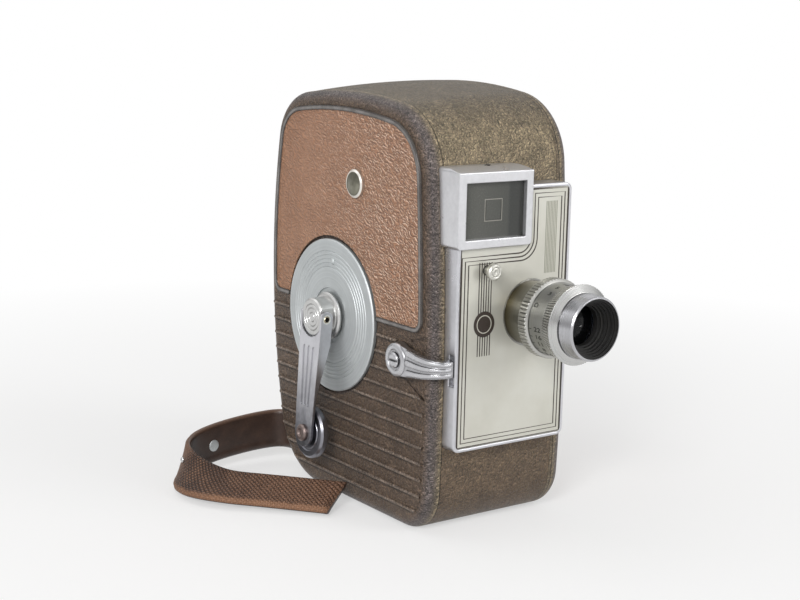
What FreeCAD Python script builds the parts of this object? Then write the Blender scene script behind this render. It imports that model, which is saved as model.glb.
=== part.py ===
import FreeCAD, Part
import math
import os
import types

import Sketcher
from FreeCAD import Placement, Rotation, Vector

# Spring-wound 8 mm movie camera, in millimetres.
# +Z is up, the lens looks along -Y, the winding side is at -X and the film door at +X.
# The origin is the mouth of the tripod socket, in the plane that the camera stands on.

SIZES = {
    # Housing outline, seen from the side
    "body_height": 127.0,         # base to the top of the band beside the film door
    "winding_side_drop": 2.5,     # how much lower the top lies on the winding side
    "crown_drop": 0.4,            # how much lower the top lies over the middle of the band
    "front_reach": 44.4,          # origin to the front face
    "rear_reach": 44.4,           # origin to the rear face
    "top_arc": 175.0,
    "front_arc": 700.0,
    "rear_arc": 220.0,
    "top_apex": 3.0,              # how far back the top is highest
    "front_apex": 45.0,           # height at which the front stands furthest out
    "rear_apex": 70.0,
    "top_front_corner": 21.5,
    "top_rear_corner": 16.5,
    "base_rear_corner": 23.0,
    "base_front_corner": 13.0,
    # Housing across
    "half_width": 25.4,
    "left_seam": 20.8,
    "right_seam": 19.8,
    "shoulder": 4.2,
    "band_wall": 2.2,
    "cover_wall": 1.8,
    "seam_gap": 0.15,
    # Winding side trim
    "leather_inset": 5.8,
    "leather_bottom": 60.4,
    "leather_recess": 0.5,
    "leather_proud": 0.4,
    "leather_corner": 2.4,        # radius of the leather's two lower corners
    "bead_width": 1.3,
    "bead_proud": 0.7,
    "rib_pitch": 4.82,
    "first_rib": 55.1,
    "rib_width": 1.1,
    "rib_proud": 0.45,
    "rib_inset": 3.4,
    "stud_y": -5.9,
    "stud_drop": 29.0,            # top of the housing down to the stud
    "stud_radius": 4.2,
    # Winding disc and crank
    "disc_y": 6.6,
    "disc_z": 56.6,
    "disc_radius": 23.3,
    "disc_moat": 0.9,
    "disc_proud": 0.9,
    "ring_groove": 0.25,
    "crank_flange": 7.2,
    "crank_head": 5.8,
    "crank_reach": 7.4,           # side plane to the head's outer face
    "crank_flat": 4.9,            # half width over the two flats of the head
    "crank_pin_reach": 5.6,       # side plane to the fold pin
    "crank_pin_radius": 1.0,
    "arm_half_width": 5.7,
    "arm_tip_radius": 4.35,
    "arm_length": 35.8,
    "arm_lean": 4.3,              # degrees that the folded arm leans outwards
    "arm_front": 1.95,            # pin to the arm's outer face
    "arm_sheet": 0.9,
    "cheek_sheet": 0.75,
    "cheek_radius": 2.3,
    "cheek_depth": 2.1,
    "cheek_straight": 8.0,
    "cheek_length": 24.0,
    "flute_width": 1.5,
    "flute_depth": 0.3,
    "crank_knob_radius": 8.0,
    "crank_knob_thickness": 2.9,
    "crank_knob_boss": 3.0,
    "rivet_radius": 1.2,
    "rivet_head": 2.6,
    # Release lever
    "lever_y": -31.0,
    "lever_z": 50.5,
    "lever_hub_radius": 4.95,
    "lever_reach": 3.5,           # side plane to the hub's outer face
    "lever_gap": 0.3,
    "lever_sheet": 1.9,
    "lever_tip_x": -21.4,
    "lever_tip_y": -48.6,
    "lever_bend": 6.5,
    "lever_rib": 0.45,
    "lever_shaft_radius": 2.0,
    "lever_screw_radius": 2.2,
    # Front tray and face plate
    "tray_left": 21.1,
    "tray_right": 19.6,
    "tray_bottom": 26.1,
    "tray_drop": 26.2,            # top of the housing down to the tray's top
    "tray_depth": 5.0,            # front face of the housing to the tray's front
    "tray_corner": 2.2,
    "tray_wall": 1.0,
    "tray_floor": 1.2,
    "plate_recess": 0.4,
    "notch_bottom": 45.2,
    "notch_top": 54.2,
    "notch_back": 2.8,
    "notch_depth": 1.7,
    # Finder
    "finder_left": 22.5,
    "finder_right": 3.8,
    "finder_drop": 21.9,          # top of the housing down to the finder's front top edge
    "finder_height": 21.0,
    "finder_rise": 1.2,
    "finder_proud": 1.4,
    "finder_corner": 1.2,
    "window_left": 19.8,
    "window_right": 1.6,
    "window_sill": 2.4,           # finder's lower edge up to the window
    "window_height": 15.8,
    "window_setback": 1.6,
    "window_glass": 1.2,
    "finder_mark_half": 3.0,
    "finder_hole_x": -8.0,
    "finder_hole_back": 4.6,      # tray's front plane back to the small hole in the finder's top
    "finder_hole_radius": 0.6,
    "tube_left": 19.0,
    "tube_right": 4.0,
    "tube_wall": 0.8,
    "eye_drop": 32.6,             # top of the housing down to the finder's axis
    "eye_half": 4.6,
    "eye_flange": 6.4,
    "eye_bore": 3.4,
    "eye_seat": 41.6,
    # Lens, from the front plate forwards
    "lens_x": 5.3,
    "lens_z": 64.2,
    "socket_radius": 9.6,
    "socket_body": 8.9,
    "mount_radius": 7.9375,
    "mount_length": 4.0,
    "lens_base_radius": 9.2,
    "aperture_start": 8.0,
    "aperture_end": 11.6,
    "aperture_radius": 11.4,
    "aperture_bevel": 0.6,
    "aperture_teeth": 64,
    "aperture_tooth": 0.35,
    "neck_radius": 8.6,
    "sleeve_radius": 10.3,
    "sleeve_end": 17.2,
    "nose_radius": 8.2,
    "nose_end": 21.8,
    "focus_start": 17.3,
    "focus_widest": 21.0,
    "focus_end": 22.3,
    "focus_small_radius": 10.45,
    "focus_radius": 11.4,
    "hood_base_radius": 9.3,
    "hood_rim_radius": 9.0,
    "hood_bore": 8.3,
    "lens_length": 27.7,
    "hood_throat": 5.6,
    "throat_end": 21.4,
    "glass_front": 20.6,
    "front_glass_radius": 6.15,
    "front_glass_thickness": 2.0,
    "inner_tube_radius": 7.1,
    "inner_tube_start": 17.6,
    "focus_tooth": 0.25,
    "focus_teeth": 90,
    "rear_glass_radius": 4.8,
    "iris_radius": 6.6,
    "iris_opening": 1.6,
    "running_clearance": 0.05,
    # Front button
    "button_x": -10.8,
    "button_z": 77.6,
    "button_radius": 2.35,
    "button_stem": 1.2,
    "button_reach": 4.0,
    "button_travel": 1.5,
    # Mechanism plate and bridge
    "partition_left": 3.2,
    "partition_right": 1.7,
    "bridge_outer": 21.2,
    "bridge_inner": 19.9,
    "pillar_radius": 2.0,
    "screw_radius": 1.6,
    "arbor_radius": 1.0,
    # Spring barrel and train
    "barrel_left": 18.6,
    "barrel_right": 8.3,
    "barrel_radius": 20.6,
    "barrel_wall": 1.2,
    "winding_arbor_radius": 3.0,
    "arbor_core_radius": 5.0,
    "arbor_stub_radius": 1.9,
    "arbor_end_radius": 2.0,
    "main_module": 0.6,
    "main_teeth": 72,
    "pinion_teeth": 12,
    "main_wheel_thickness": 1.5,
    "wheel_module": 0.5,
    "second_teeth": 48,
    "second_wheel_left": 6.3,
    "wheel_thickness": 1.0,
    "bevel_module": 0.45,
    "bevel_teeth": 24,
    "bevel_face": 1.8,
    "third_y": -30.0,
    "third_z": 64.2,
    "governor_drive_teeth": 30,
    "governor_teeth": 10,
    "governor_drive_left": 14.0,
    "governor_disc_radius": 5.6,
    "backlash": 0.12,
    "ratchet_radius": 8.6,
    "ratchet_teeth": 24,
    "ratchet_left": 22.8,
    "ratchet_thickness": 1.2,
    "spring_strip": 0.4,
    "spring_turns": 9,
    # Shutter and claw
    "shutter_x": -6.5,
    "shutter_y": -40.3,
    "shutter_radius": 15.0,
    "shutter_sheet": 0.3,
    "shutter_blade": 190.0,       # degrees that the blade covers
    "claw_pin_radius": 0.8,
    "claw_pin_throw": 1.9,
    "claw_y": -39.3,
    "claw_sheet": 0.4,
    "claw_stroke": 3.81,
    # Film way
    "film_plane": -37.1,
    "film_width": 16.0,
    "gate_thickness": 1.0,
    "gate_half_height": 18.0,
    "frame_width": 4.9,
    "frame_height": 3.7,
    "film_gap": 0.2,
    "pressure_thickness": 1.0,
    "pressure_half_height": 14.0,
    "gate_pin_radius": 0.8,
    "spindle_y": 9.0,
    "feed_z": 94.5,
    "take_up_z": 33.5,
    "spindle_radius": 3.9,
    "spindle_shaft": 1.5,
    "spool_radius": 25.8,
    "spool_left": -0.9,
    "spool_width": 18.0,
    "spool_sheet": 0.7,
    "spool_core": 11.0,
    "roller_radius": 3.0,
    "roller_y": -30.0,
    "roller_spread": 22.0,
    # Film door
    "door_lip": 1.9,
    "door_lip_wall": 1.2,
    "door_lip_gap": 0.3,
    "lock_y": -12.0,
    "lock_z": 64.0,
    "lock_radius": 9.0,
    "lock_proud": 1.6,
    "lock_bar": 7.0,
    "lock_shaft": 2.0,
    # Base and strap
    "base_ledge": 2.0,            # width of the steps that the base plate lies on
    "base_gap": 0.03,
    "base_front_margin": 1.5,     # front corner's arc back to the base plate
    "base_rear_margin": 7.0,
    "bush_flange": 6.4,
    "bush_radius": 5.6,
    "bush_height": 6.8,
    "socket_thread_radius": 2.56,
    "socket_depth": 5.6,
    "strap_root": 8.0,
    "strap_x": 18.4,
    "strap_thickness": 2.2,
    "strap_width": 12.7,
    "strap_ground": 0.2,
    "strap_end_slant": 3.5,
    "strap_rivet_radius": 1.0,
    "clip_sheet": 0.9,
    "strap_low": 4.8,
    "strap_high": 17.6,
}

doc = FreeCAD.newDocument("movie_camera")
sheet = doc.addObject("Spreadsheet::Sheet", "sizes")


class Size:
    """A number together with the sheet formula that gives it."""

    def __init__(self, number, formula):
        self.number = float(number)
        self.formula = formula

    def __add__(self, other):
        other = sized(other)
        return Size(self.number + other.number, f"({self.formula} + {other.formula})")

    def __sub__(self, other):
        other = sized(other)
        return Size(self.number - other.number, f"({self.formula} - {other.formula})")

    def __mul__(self, other):
        other = sized(other)
        return Size(self.number * other.number, f"({self.formula} * {other.formula})")

    def __truediv__(self, other):
        other = sized(other)
        return Size(self.number / other.number, f"({self.formula} / {other.formula})")

    def __neg__(self):
        return Size(-self.number, f"(0 - {self.formula})")

    def __radd__(self, other):
        return sized(other) + self

    def __rsub__(self, other):
        return sized(other) - self

    def __rmul__(self, other):
        return sized(other) * self

    def __float__(self):
        return self.number


def sized(value):
    if isinstance(value, Size):
        return value
    return Size(value, f"({float(value)})")


def square_root(value):
    value = sized(value)
    return Size(math.sqrt(value.number), f"sqrt({value.formula})")


def fill_sheet():
    row = 1
    for name, value in SIZES.items():
        sheet.set(f"A{row}", name)
        sheet.set(f"B{row}", str(value))
        sheet.setAlias(f"B{row}", name)
        row += 1
    doc.recompute()


fill_sheet()
s = types.SimpleNamespace(**{name: Size(value, "sizes." + name) for name, value in SIZES.items()})

# Places that several pieces share
SIDE = -s.half_width
FRONT = -s.front_reach
PLATE = -(s.front_reach + s.tray_depth)
LEFT_HEIGHT = s.body_height - s.winding_side_drop
MIDDLE_HEIGHT = s.body_height - s.crown_drop

TUBE_X = -(s.tube_left + s.tube_right) / 2
TUBE_HALF = (s.tube_left - s.tube_right) / 2
STUD_Z = s.body_height - s.stud_drop
TRAY_TOP = s.body_height - s.tray_drop
FINDER_TOP = s.body_height - s.finder_drop
FINDER_LOW = FINDER_TOP - s.finder_height
WINDOW_LOW = FINDER_LOW + s.window_sill
WINDOW_TOP = WINDOW_LOW + s.window_height
EYE_Z = s.body_height - s.eye_drop
TUBE_LOW = EYE_Z - TUBE_HALF
TUBE_HIGH = EYE_Z + TUBE_HALF
COVER_INSIDE = SIDE + s.cover_wall
LEATHER_BACK = SIDE + s.leather_recess
LEATHER_LOW = s.leather_bottom - s.bead_width
BASE_FRONT = s.base_front_corner + s.base_front_margin - s.front_reach
BASE_REAR = s.rear_reach - s.base_rear_corner - s.base_rear_margin
BASE_LEDGE = s.band_wall / 2
STRAP_ROOM = s.strap_thickness / 2 + 0.1
RIVET_Z = (s.strap_low + s.strap_high) / 2
WINDOW_SIDE = (s.finder_left - s.window_left) / 2
WINDOW_SILL = s.window_sill / 2

# Ways that a turned piece can point
TO_LEFT = Rotation(Vector(0, 0, 1), Vector(-1, 0, 0))
TO_RIGHT = Rotation(Vector(0, 0, 1), Vector(1, 0, 0))
TO_FRONT = Rotation(Vector(0, 0, 1), Vector(0, -1, 0))
TO_REAR = Rotation(Vector(0, 0, 1), Vector(0, 1, 0))
UPWARDS = Rotation()

nodes = {}


def keep(name, thing):
    """Make this object the node that the file is named after."""
    thing.Label = name
    nodes[name] = thing
    return thing


def bind(thing, path, value):
    thing.setExpression(path, sized(value).formula)


def place(thing, x, y, z, turn=UPWARDS):
    thing.Placement = Placement(Vector(float(x), float(y), float(z)), turn)
    bind(thing, "Placement.Base.x", x)
    bind(thing, "Placement.Base.y", y)
    bind(thing, "Placement.Base.z", z)
    return thing


# Sketches

def new_body(name):
    return doc.addObject("PartDesign::Body", name)


def sketch_on(body, name, role, offset):
    sketch = body.newObject("Sketcher::SketchObject", name)
    plane = [item for item in body.Origin.OriginFeatures if item.Role == role][0]
    sketch.AttachmentSupport = [(plane, "")]
    sketch.MapMode = "FlatFace"
    bind(sketch, "AttachmentOffset.Base.z", offset)
    return sketch


def hold_point(sketch, geometry, end, a, b):
    for kind, value in (("DistanceX", a), ("DistanceY", b)):
        index = sketch.addConstraint(Sketcher.Constraint(kind, -1, 1, geometry, end, float(value)))
        bind(sketch, f"Constraints[{index}]", value)


def hold_radius(sketch, geometry, radius):
    index = sketch.addConstraint(Sketcher.Constraint("Radius", geometry, float(radius)))
    bind(sketch, f"Constraints[{index}]", radius)


def draw(sketch, points):
    """Closed outline, counter-clockwise. A third value makes the edge to the next point an arc
    of that radius, outwards when it is positive and inwards when it is negative."""
    count = len(points)
    ends = []
    for i in range(count):
        here, there = points[i], points[(i + 1) % count]
        start = Vector(float(here[0]), float(here[1]), 0)
        finish = Vector(float(there[0]), float(there[1]), 0)
        if len(here) == 2:
            sketch.addGeometry(Part.LineSegment(start, finish), False)
            ends.append((1, 2))
            continue
        radius = sized(here[2])
        size = abs(radius.number)
        chord = finish - start
        left = Vector(-chord.y, chord.x, 0).normalize()
        rise = math.sqrt(max(size ** 2 - (chord.Length / 2) ** 2, 0))
        centre = (start + finish) * 0.5 + left * (rise if radius.number > 0 else -rise)
        first, second = (start, finish) if radius.number > 0 else (finish, start)
        angles = [math.atan2(p.y - centre.y, p.x - centre.x) for p in (first, second)]
        circle = Part.Circle(centre, Vector(0, 0, 1), size)
        sketch.addGeometry(Part.ArcOfCircle(circle, angles[0], angles[1]), False)
        ends.append((1, 2) if radius.number > 0 else (2, 1))
    for i in range(count):
        hold_point(sketch, i, ends[i][0], points[i][0], points[i][1])
        after = (i + 1) % count
        sketch.addConstraint(Sketcher.Constraint("Coincident", i, ends[i][1], after, ends[after][0]))
        if len(points[i]) == 3:
            radius = sized(points[i][2])
            hold_radius(sketch, i, radius if radius.number > 0 else -radius)
    return sketch


def draw_circle(sketch, a, b, radius):
    circle = Part.Circle(Vector(float(a), float(b), 0), Vector(0, 0, 1), float(radius))
    geometry = sketch.addGeometry(circle, False)
    hold_point(sketch, geometry, 3, a, b)
    hold_radius(sketch, geometry, radius)
    return sketch


def rounded_box(left, right, low, high, corner):
    return [
        (left + corner, low), (right - corner, low, corner),
        (right, low + corner), (right, high - corner, corner),
        (right - corner, high), (left + corner, high, corner),
        (left, high - corner), (left, low + corner, corner),
    ]


def box(left, right, low, high):
    return [(left, low), (right, low), (right, high), (left, high)]


def housing_corners(height):
    """Centres of the four big arcs' corner arcs, as plain numbers."""
    top = (float(s.top_apex), float(height) - float(s.top_arc), float(s.top_arc))
    front = (float(FRONT) + float(s.front_arc), float(s.front_apex), float(s.front_arc))
    rear = (float(s.rear_reach) - float(s.rear_arc), float(s.rear_apex), float(s.rear_arc))
    centres = []
    for big, corner in ((front, s.top_front_corner), (rear, s.top_rear_corner)):
        radius = float(corner)
        one, two = top[2] - radius, big[2] - radius
        dy, dz = big[0] - top[0], big[1] - top[1]
        gap = math.hypot(dy, dz)
        along = (one ** 2 - two ** 2 + gap ** 2) / (2 * gap)
        aside = math.sqrt(one ** 2 - along ** 2)
        options = [
            (top[0] + (along * dy - side * aside * dz) / gap, top[1] + (along * dz + side * aside * dy) / gap)
            for side in (1, -1)
        ]
        centres.append(max(options, key=lambda c: c[1]))
    for big, corner, side in ((rear, s.base_rear_corner, 1), (front, s.base_front_corner, -1)):
        radius = float(corner)
        reach = big[2] - radius
        across = math.sqrt(reach ** 2 - (radius - big[1]) ** 2)
        centres.append((big[0] + side * across, radius))
    return top, front, rear, centres


def towards(start, end):
    return math.atan2(end[1] - start[1], end[0] - start[0])


def draw_housing(sketch, inset, height):
    """The housing's outline from the side: three big arcs and a flat base, joined by tangent
    corner arcs, drawn in from the true outline by the inset."""
    top, front, rear, centres = housing_corners(height)
    inset = sized(inset)
    top_front, top_rear, base_rear, base_front = centres
    base = inset.number

    def arc(centre, radius, start, end):
        circle = Part.Circle(Vector(centre[0], centre[1], 0), Vector(0, 0, 1), radius - base)
        return sketch.addGeometry(Part.ArcOfCircle(circle, start, end), False)

    turn = 2 * math.pi
    top_right = towards(top, top_rear)
    top_left = towards(top, top_front)
    rear_high = towards(rear, top_rear)
    rear_low = towards(rear, base_rear)
    front_high = towards(front, top_front)
    front_low = towards(front, base_front) + turn
    arcs = [
        arc(top, top[2], top_right, top_left),
        arc(top_front, float(s.top_front_corner), top_left, front_high),
        arc(front, front[2], front_high, front_low),
        arc(base_front, float(s.base_front_corner), front_low, 1.5 * math.pi),
    ]
    floor = sketch.addGeometry(
        Part.LineSegment(Vector(base_front[0], base, 0), Vector(base_rear[0], base, 0)), False
    )
    arcs.append(floor)
    arcs.append(arc(base_rear, float(s.base_rear_corner), -math.pi / 2, rear_low))
    arcs.append(arc(rear, rear[2], rear_low, rear_high))
    arcs.append(arc(top_rear, float(s.top_rear_corner), rear_high, top_right))
    for here, there in zip(arcs, arcs[1:] + arcs[:1]):
        sketch.addConstraint(Sketcher.Constraint("Tangent", here, 2, there, 1))
    radii = (
        (0, s.top_arc), (1, s.top_front_corner), (2, s.front_arc), (3, s.base_front_corner),
        (5, s.base_rear_corner), (6, s.rear_arc), (7, s.top_rear_corner),
    )
    for index, radius in radii:
        hold_radius(sketch, arcs[index], radius - inset)
    hold_point(sketch, arcs[0], 3, s.top_apex, height - s.top_arc)
    hold_point(sketch, arcs[2], 3, FRONT + s.front_arc, s.front_apex)
    hold_point(sketch, arcs[6], 3, s.rear_reach - s.rear_arc, s.rear_apex)
    sketch.addConstraint(Sketcher.Constraint("Horizontal", floor))
    index = sketch.addConstraint(Sketcher.Constraint("DistanceY", -1, 1, floor, 1, base))
    bind(sketch, f"Constraints[{index}]", inset)
    return sketch


# Features. A slab or a cut runs between two places along the normal of its plane.

def ends_of(role, low, high):
    """Offset of a pad's sketch and of a pocket's sketch, and the length between them."""
    if role == "XZ_Plane":
        return -sized(high), -sized(low), sized(high) - low
    return sized(low), sized(high), sized(high) - low


def add_slab(body, name, role, low, high, drawing):
    start, _, length = ends_of(role, low, high)
    sketch = sketch_on(body, name + "_outline", role, start)
    drawing(sketch)
    pad = body.newObject("PartDesign::Pad", name)
    pad.Profile = sketch
    bind(pad, "Length", length)
    return pad


def add_cut(body, name, role, low, high, drawing):
    _, start, length = ends_of(role, low, high)
    sketch = sketch_on(body, name + "_outline", role, start)
    drawing(sketch)
    pocket = body.newObject("PartDesign::Pocket", name)
    pocket.Profile = sketch
    bind(pocket, "Length", length)
    return pocket


def slab(name, role, low, high, drawing):
    body = new_body(name)
    add_slab(body, name + "_slab", role, low, high, drawing)
    return body


def polygon(points):
    return lambda sketch: draw(sketch, points)


def disc(a, b, radius):
    return lambda sketch: draw_circle(sketch, a, b, radius)


def turned(name, profile, x, y, z, way):
    """A turned piece. Its profile is (radius, distance along its axis), counter-clockwise."""
    body = new_body(name)
    sketch = sketch_on(body, name + "_profile", "XZ_Plane", 0)
    draw(sketch, profile)
    turn = body.newObject("PartDesign::Revolution", name + "_turn")
    turn.Profile = sketch
    turn.ReferenceAxis = (sketch, ["V_Axis"])
    turn.Angle = 360
    place(body, x, y, z, way)
    return body


def fillet_edges(body, name, chosen, radius):
    doc.recompute()
    tip = body.Tip
    names = [f"Edge{i + 1}" for i, edge in enumerate(tip.Shape.Edges) if chosen(edge)]
    fillet = body.newObject("PartDesign::Fillet", name)
    fillet.Base = (tip, names)
    bind(fillet, "Radius", radius)
    return fillet


def lies_at(axis, value):
    """Chooser of the edges that lie wholly in the plane at this place on an axis."""
    def chosen(edge):
        limits = edge.BoundBox
        low = getattr(limits, axis + "Min")
        high = getattr(limits, axis + "Max")
        return abs(low - float(value)) < 0.01 and abs(high - float(value)) < 0.01
    return chosen


def difference(name, base, tools):
    for number, tool in enumerate(tools):
        cut = doc.addObject("Part::Cut", f"{name}_less_{number + 1}")
        cut.Base = base
        cut.Tool = tool
        base = cut
    return base


def overlap_of(name, things):
    common = doc.addObject("Part::MultiCommon", name)
    common.Shapes = things
    return common


def union(name, things):
    fuse = doc.addObject("Part::MultiFuse", name)
    fuse.Shapes = things
    return fuse


def group(name, things):
    compound = doc.addObject("Part::Compound", name)
    compound.Links = things
    return compound


def cylinder(name, radius, length, x, y, z, way):
    rod = doc.addObject("Part::Cylinder", name)
    bind(rod, "Radius", radius)
    bind(rod, "Height", length)
    return place(rod, x, y, z, way)


# Housing

def outline(inset, height):
    return lambda sketch: draw_housing(sketch, inset, height)


def crowned(body, kind, name, inset):
    """Loft of the outline from seam to seam, with the top rising towards the film door."""
    sections = []
    stations = (("left", -s.left_seam, LEFT_HEIGHT), ("middle", 0, MIDDLE_HEIGHT),
                ("right", s.right_seam, s.body_height))
    for place_name, across, height in stations:
        sketch = sketch_on(body, f"{name}_{place_name}", "YZ_Plane", across)
        draw_housing(sketch, inset, height)
        sections.append(sketch)
    loft = body.newObject(kind, name)
    loft.Profile = sections[0]
    loft.Sections = [(section, [""]) for section in sections[1:]]
    return loft


def housing_form():
    """The closed outer form of the whole housing, used to shape what sits on it."""
    form = new_body("housing_form")
    crowned(form, "PartDesign::AdditiveLoft", "form_band", 0)
    add_slab(form, "form_side", "YZ_Plane", SIDE, -s.left_seam, outline(0, LEFT_HEIGHT))
    fillet_edges(form, "form_shoulder", lies_at("X", SIDE), s.shoulder)
    return form


def housing_band():
    band = new_body("housing_band")
    crowned(band, "PartDesign::AdditiveLoft", "band_outside", 0)
    crowned(band, "PartDesign::SubtractiveLoft", "band_inside", s.band_wall)
    wall = 6
    add_cut(band, "lens_opening", "XZ_Plane", FRONT - 1, FRONT + wall,
            disc(s.lens_x, s.lens_z, s.socket_body + 0.05))
    add_cut(band, "button_opening", "XZ_Plane", FRONT - 1, FRONT + wall,
            disc(s.button_x, s.button_z, s.button_stem + 0.4))
    add_cut(band, "finder_opening", "XZ_Plane", FRONT - 1, FRONT + wall,
            polygon(box(-s.tube_left - 0.1, -s.tube_right + 0.1, TUBE_LOW - 0.1, TUBE_HIGH + 0.1)))
    add_cut(band, "eyepiece_opening", "XZ_Plane", s.rear_reach - wall, s.rear_reach + 1,
            disc(TUBE_X, EYE_Z, s.eye_flange + s.running_clearance))
    add_cut(band, "base_opening", "XY_Plane", -1, BASE_LEDGE, polygon(base_box(0)))
    add_cut(band, "base_way", "XY_Plane", 0, s.band_wall + 1, polygon(base_box(s.base_ledge)))
    add_cut(band, "strap_opening", "XZ_Plane", s.strap_root + 15, s.rear_reach + 1,
            polygon(box(-s.strap_x - STRAP_ROOM, -s.strap_x + STRAP_ROOM, s.strap_low, s.strap_high)))
    keep("housing_band", band)
    return band


def base_box(inset):
    """Rectangle of the base plate, from seam to seam and inset at its front and rear ends."""
    return box(-s.left_seam, s.right_seam, BASE_FRONT + inset, BASE_REAR - inset)


def base_plate():
    """Flat plate that closes the bottom of the band, stepped to lie on the band's ledges."""
    gap = s.base_gap
    plate = slab("base_plate", "XY_Plane", 0, BASE_LEDGE - gap, polygon(base_box(gap)))
    add_slab(plate, "base_step", "XY_Plane", 0, s.band_wall, polygon(base_box(s.base_ledge + gap)))
    add_cut(plate, "socket_opening", "XY_Plane", -1, s.band_wall + 1, disc(0, 0, s.bush_radius + 0.05))
    return keep("base_plate", plate)


def left_height_outline(inset):
    return outline(inset, LEFT_HEIGHT)


def rib_bars():
    """Half-round ribs across the lower half of the winding side."""
    radius = (s.rib_width * s.rib_width / 4 + s.rib_proud * s.rib_proud) / (2 * s.rib_proud)
    bars = []
    for number in range(11):
        bars.append(cylinder(f"rib_bar_{number + 1}", radius, 2 * s.rear_reach,
                             SIDE + radius - s.rib_proud, FRONT, s.first_rib - number * s.rib_pitch, TO_REAR))
    bounds = slab("rib_bounds", "YZ_Plane", SIDE - 1, SIDE + 1, left_height_outline(s.rib_inset))
    lines = overlap_of("rib_lines", [union("rib_set", bars), bounds])
    field = slab("rib_field", "YZ_Plane", SIDE - 1, SIDE + 2, polygon([
        (-31.0, 44.4), (-30.0, 56.4), (-52.0, 62.0), (-52.0, 35.6)]))
    moat = cylinder("rib_moat", s.disc_radius + s.disc_moat, 4, SIDE - 2, s.disc_y, s.disc_z, TO_RIGHT)
    hub = cylinder("rib_hub", s.lever_hub_radius + 0.8, 4, SIDE - 2, s.lever_y, s.lever_z, TO_RIGHT)
    return difference("rib_ends", lines, [field, moat, hub])


def front_line(inset, height):
    """Where the housing's front arc, moved inwards, stands at this height."""
    radius = s.front_arc - inset
    rise = height - s.front_apex
    return FRONT + s.front_arc - square_root(radius * radius - rise * rise)


def rear_line(inset, height):
    radius = s.rear_arc - inset
    rise = height - s.rear_apex
    return s.rear_reach - s.rear_arc + square_root(radius * radius - rise * rise)


def corner_waste(name, low, high, edge, bottom, radius, inwards):
    """What a rounded lower corner leaves away: a square less the corner's circle."""
    far = edge + inwards * radius
    near = edge - inwards * radius
    span = (near, far) if inwards > 0 else (far, near)
    square = slab(name + "_square", "YZ_Plane", low - 1, high + 1,
                  polygon(box(span[0], span[1], bottom - radius, bottom + radius)))
    curve = cylinder(name + "_circle", radius, high - low + 4, low - 2, far, bottom + radius, TO_RIGHT)
    return difference(name, square, [curve])


def leather_area(name, low, high, inset, bottom, corner):
    """Upper panel of the winding side: inside the outline, above a line and clear of the disc."""
    area = slab(name + "_area", "YZ_Plane", low, high, left_height_outline(inset))
    below = slab(name + "_below", "YZ_Plane", low - 1, high + 1,
                 polygon(box(-60, 60, -5, bottom)))
    level = bottom + corner
    front = corner_waste(name + "_front", low, high, front_line(inset, level), bottom, corner, 1)
    rear = corner_waste(name + "_rear", low, high, rear_line(inset, level), bottom, corner, -1)
    moat = cylinder(name + "_moat", s.disc_radius + s.disc_moat + 0.15, high - low + 2,
                    low - 1, s.disc_y, s.disc_z, TO_RIGHT)
    return difference(name, area, [below, front, rear, moat])


def side_cover():
    shell = slab("cover_shell", "YZ_Plane", SIDE, -s.left_seam - s.seam_gap, left_height_outline(0))
    fillet_edges(shell, "cover_shoulder", lies_at("X", SIDE), s.shoulder)
    add_cut(shell, "cover_hollow", "YZ_Plane", COVER_INSIDE, -s.left_seam + 1,
            left_height_outline(s.band_wall))
    add_cut(shell, "disc_seat", "YZ_Plane", SIDE - 1, SIDE + 0.6,
            disc(s.disc_y, s.disc_z, s.disc_radius + s.disc_moat))
    add_cut(shell, "arbor_hole", "YZ_Plane", SIDE - 1, COVER_INSIDE + 1,
            disc(s.disc_y, s.disc_z, s.winding_arbor_radius + 0.1))
    add_cut(shell, "lever_hole", "YZ_Plane", SIDE - 1, COVER_INSIDE + 1,
            disc(s.lever_y, s.lever_z, s.lever_shaft_radius + s.running_clearance))
    add_cut(shell, "stud_hole", "YZ_Plane", SIDE - 1, SIDE + 0.95,
            disc(s.stud_y, STUD_Z, s.stud_radius - 0.75))
    groove = 0.25
    add_cut(shell, "upper_line", "YZ_Plane", SIDE - 1, SIDE + groove, polygon([
        (-49.6, 60.3), (-34.6, 56.0), (-34.6, 56.6), (-49.6, 60.9)]))
    add_cut(shell, "lower_line", "YZ_Plane", SIDE - 1, SIDE + groove, polygon([
        (-43.9, 38.9), (-33.0, 44.0), (-33.0, 44.7), (-43.9, 39.6)]))
    recess = leather_area("leather_seat", SIDE - 1, LEATHER_BACK, s.leather_inset - s.bead_width, LEATHER_LOW,
                          s.leather_corner + s.bead_width)
    recessed = difference("cover_recessed", shell, [recess])
    return keep("side_cover", union("side_cover", [recessed, rib_bars()]))


def leather_panel():
    panel = leather_area("leather_sheet", SIDE - s.leather_proud, LEATHER_BACK,
                         s.leather_inset, s.leather_bottom, s.leather_corner)
    hole = cylinder("leather_stud_hole", s.stud_radius - 0.6, 4, SIDE - 2, s.stud_y, STUD_Z, TO_RIGHT)
    return keep("leather_panel", difference("leather_trimmed", panel, [hole]))


def panel_bead():
    outside = leather_area("bead_outside", SIDE - s.bead_proud, LEATHER_BACK,
                           s.leather_inset - s.bead_width + 0.02, LEATHER_LOW + 0.02,
                           s.leather_corner + s.bead_width - 0.02)
    inside = leather_area("bead_inside", SIDE - s.bead_proud - 1, LEATHER_BACK + 1,
                          s.leather_inset - 0.05, s.leather_bottom - 0.05, s.leather_corner + 0.05)
    return keep("panel_bead", difference("bead_ring", outside, [inside]))


def dome(radius, rise):
    """Radius of the ball whose cap has this radius and rise."""
    return (radius * radius + rise * rise) / (2 * rise)


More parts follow.
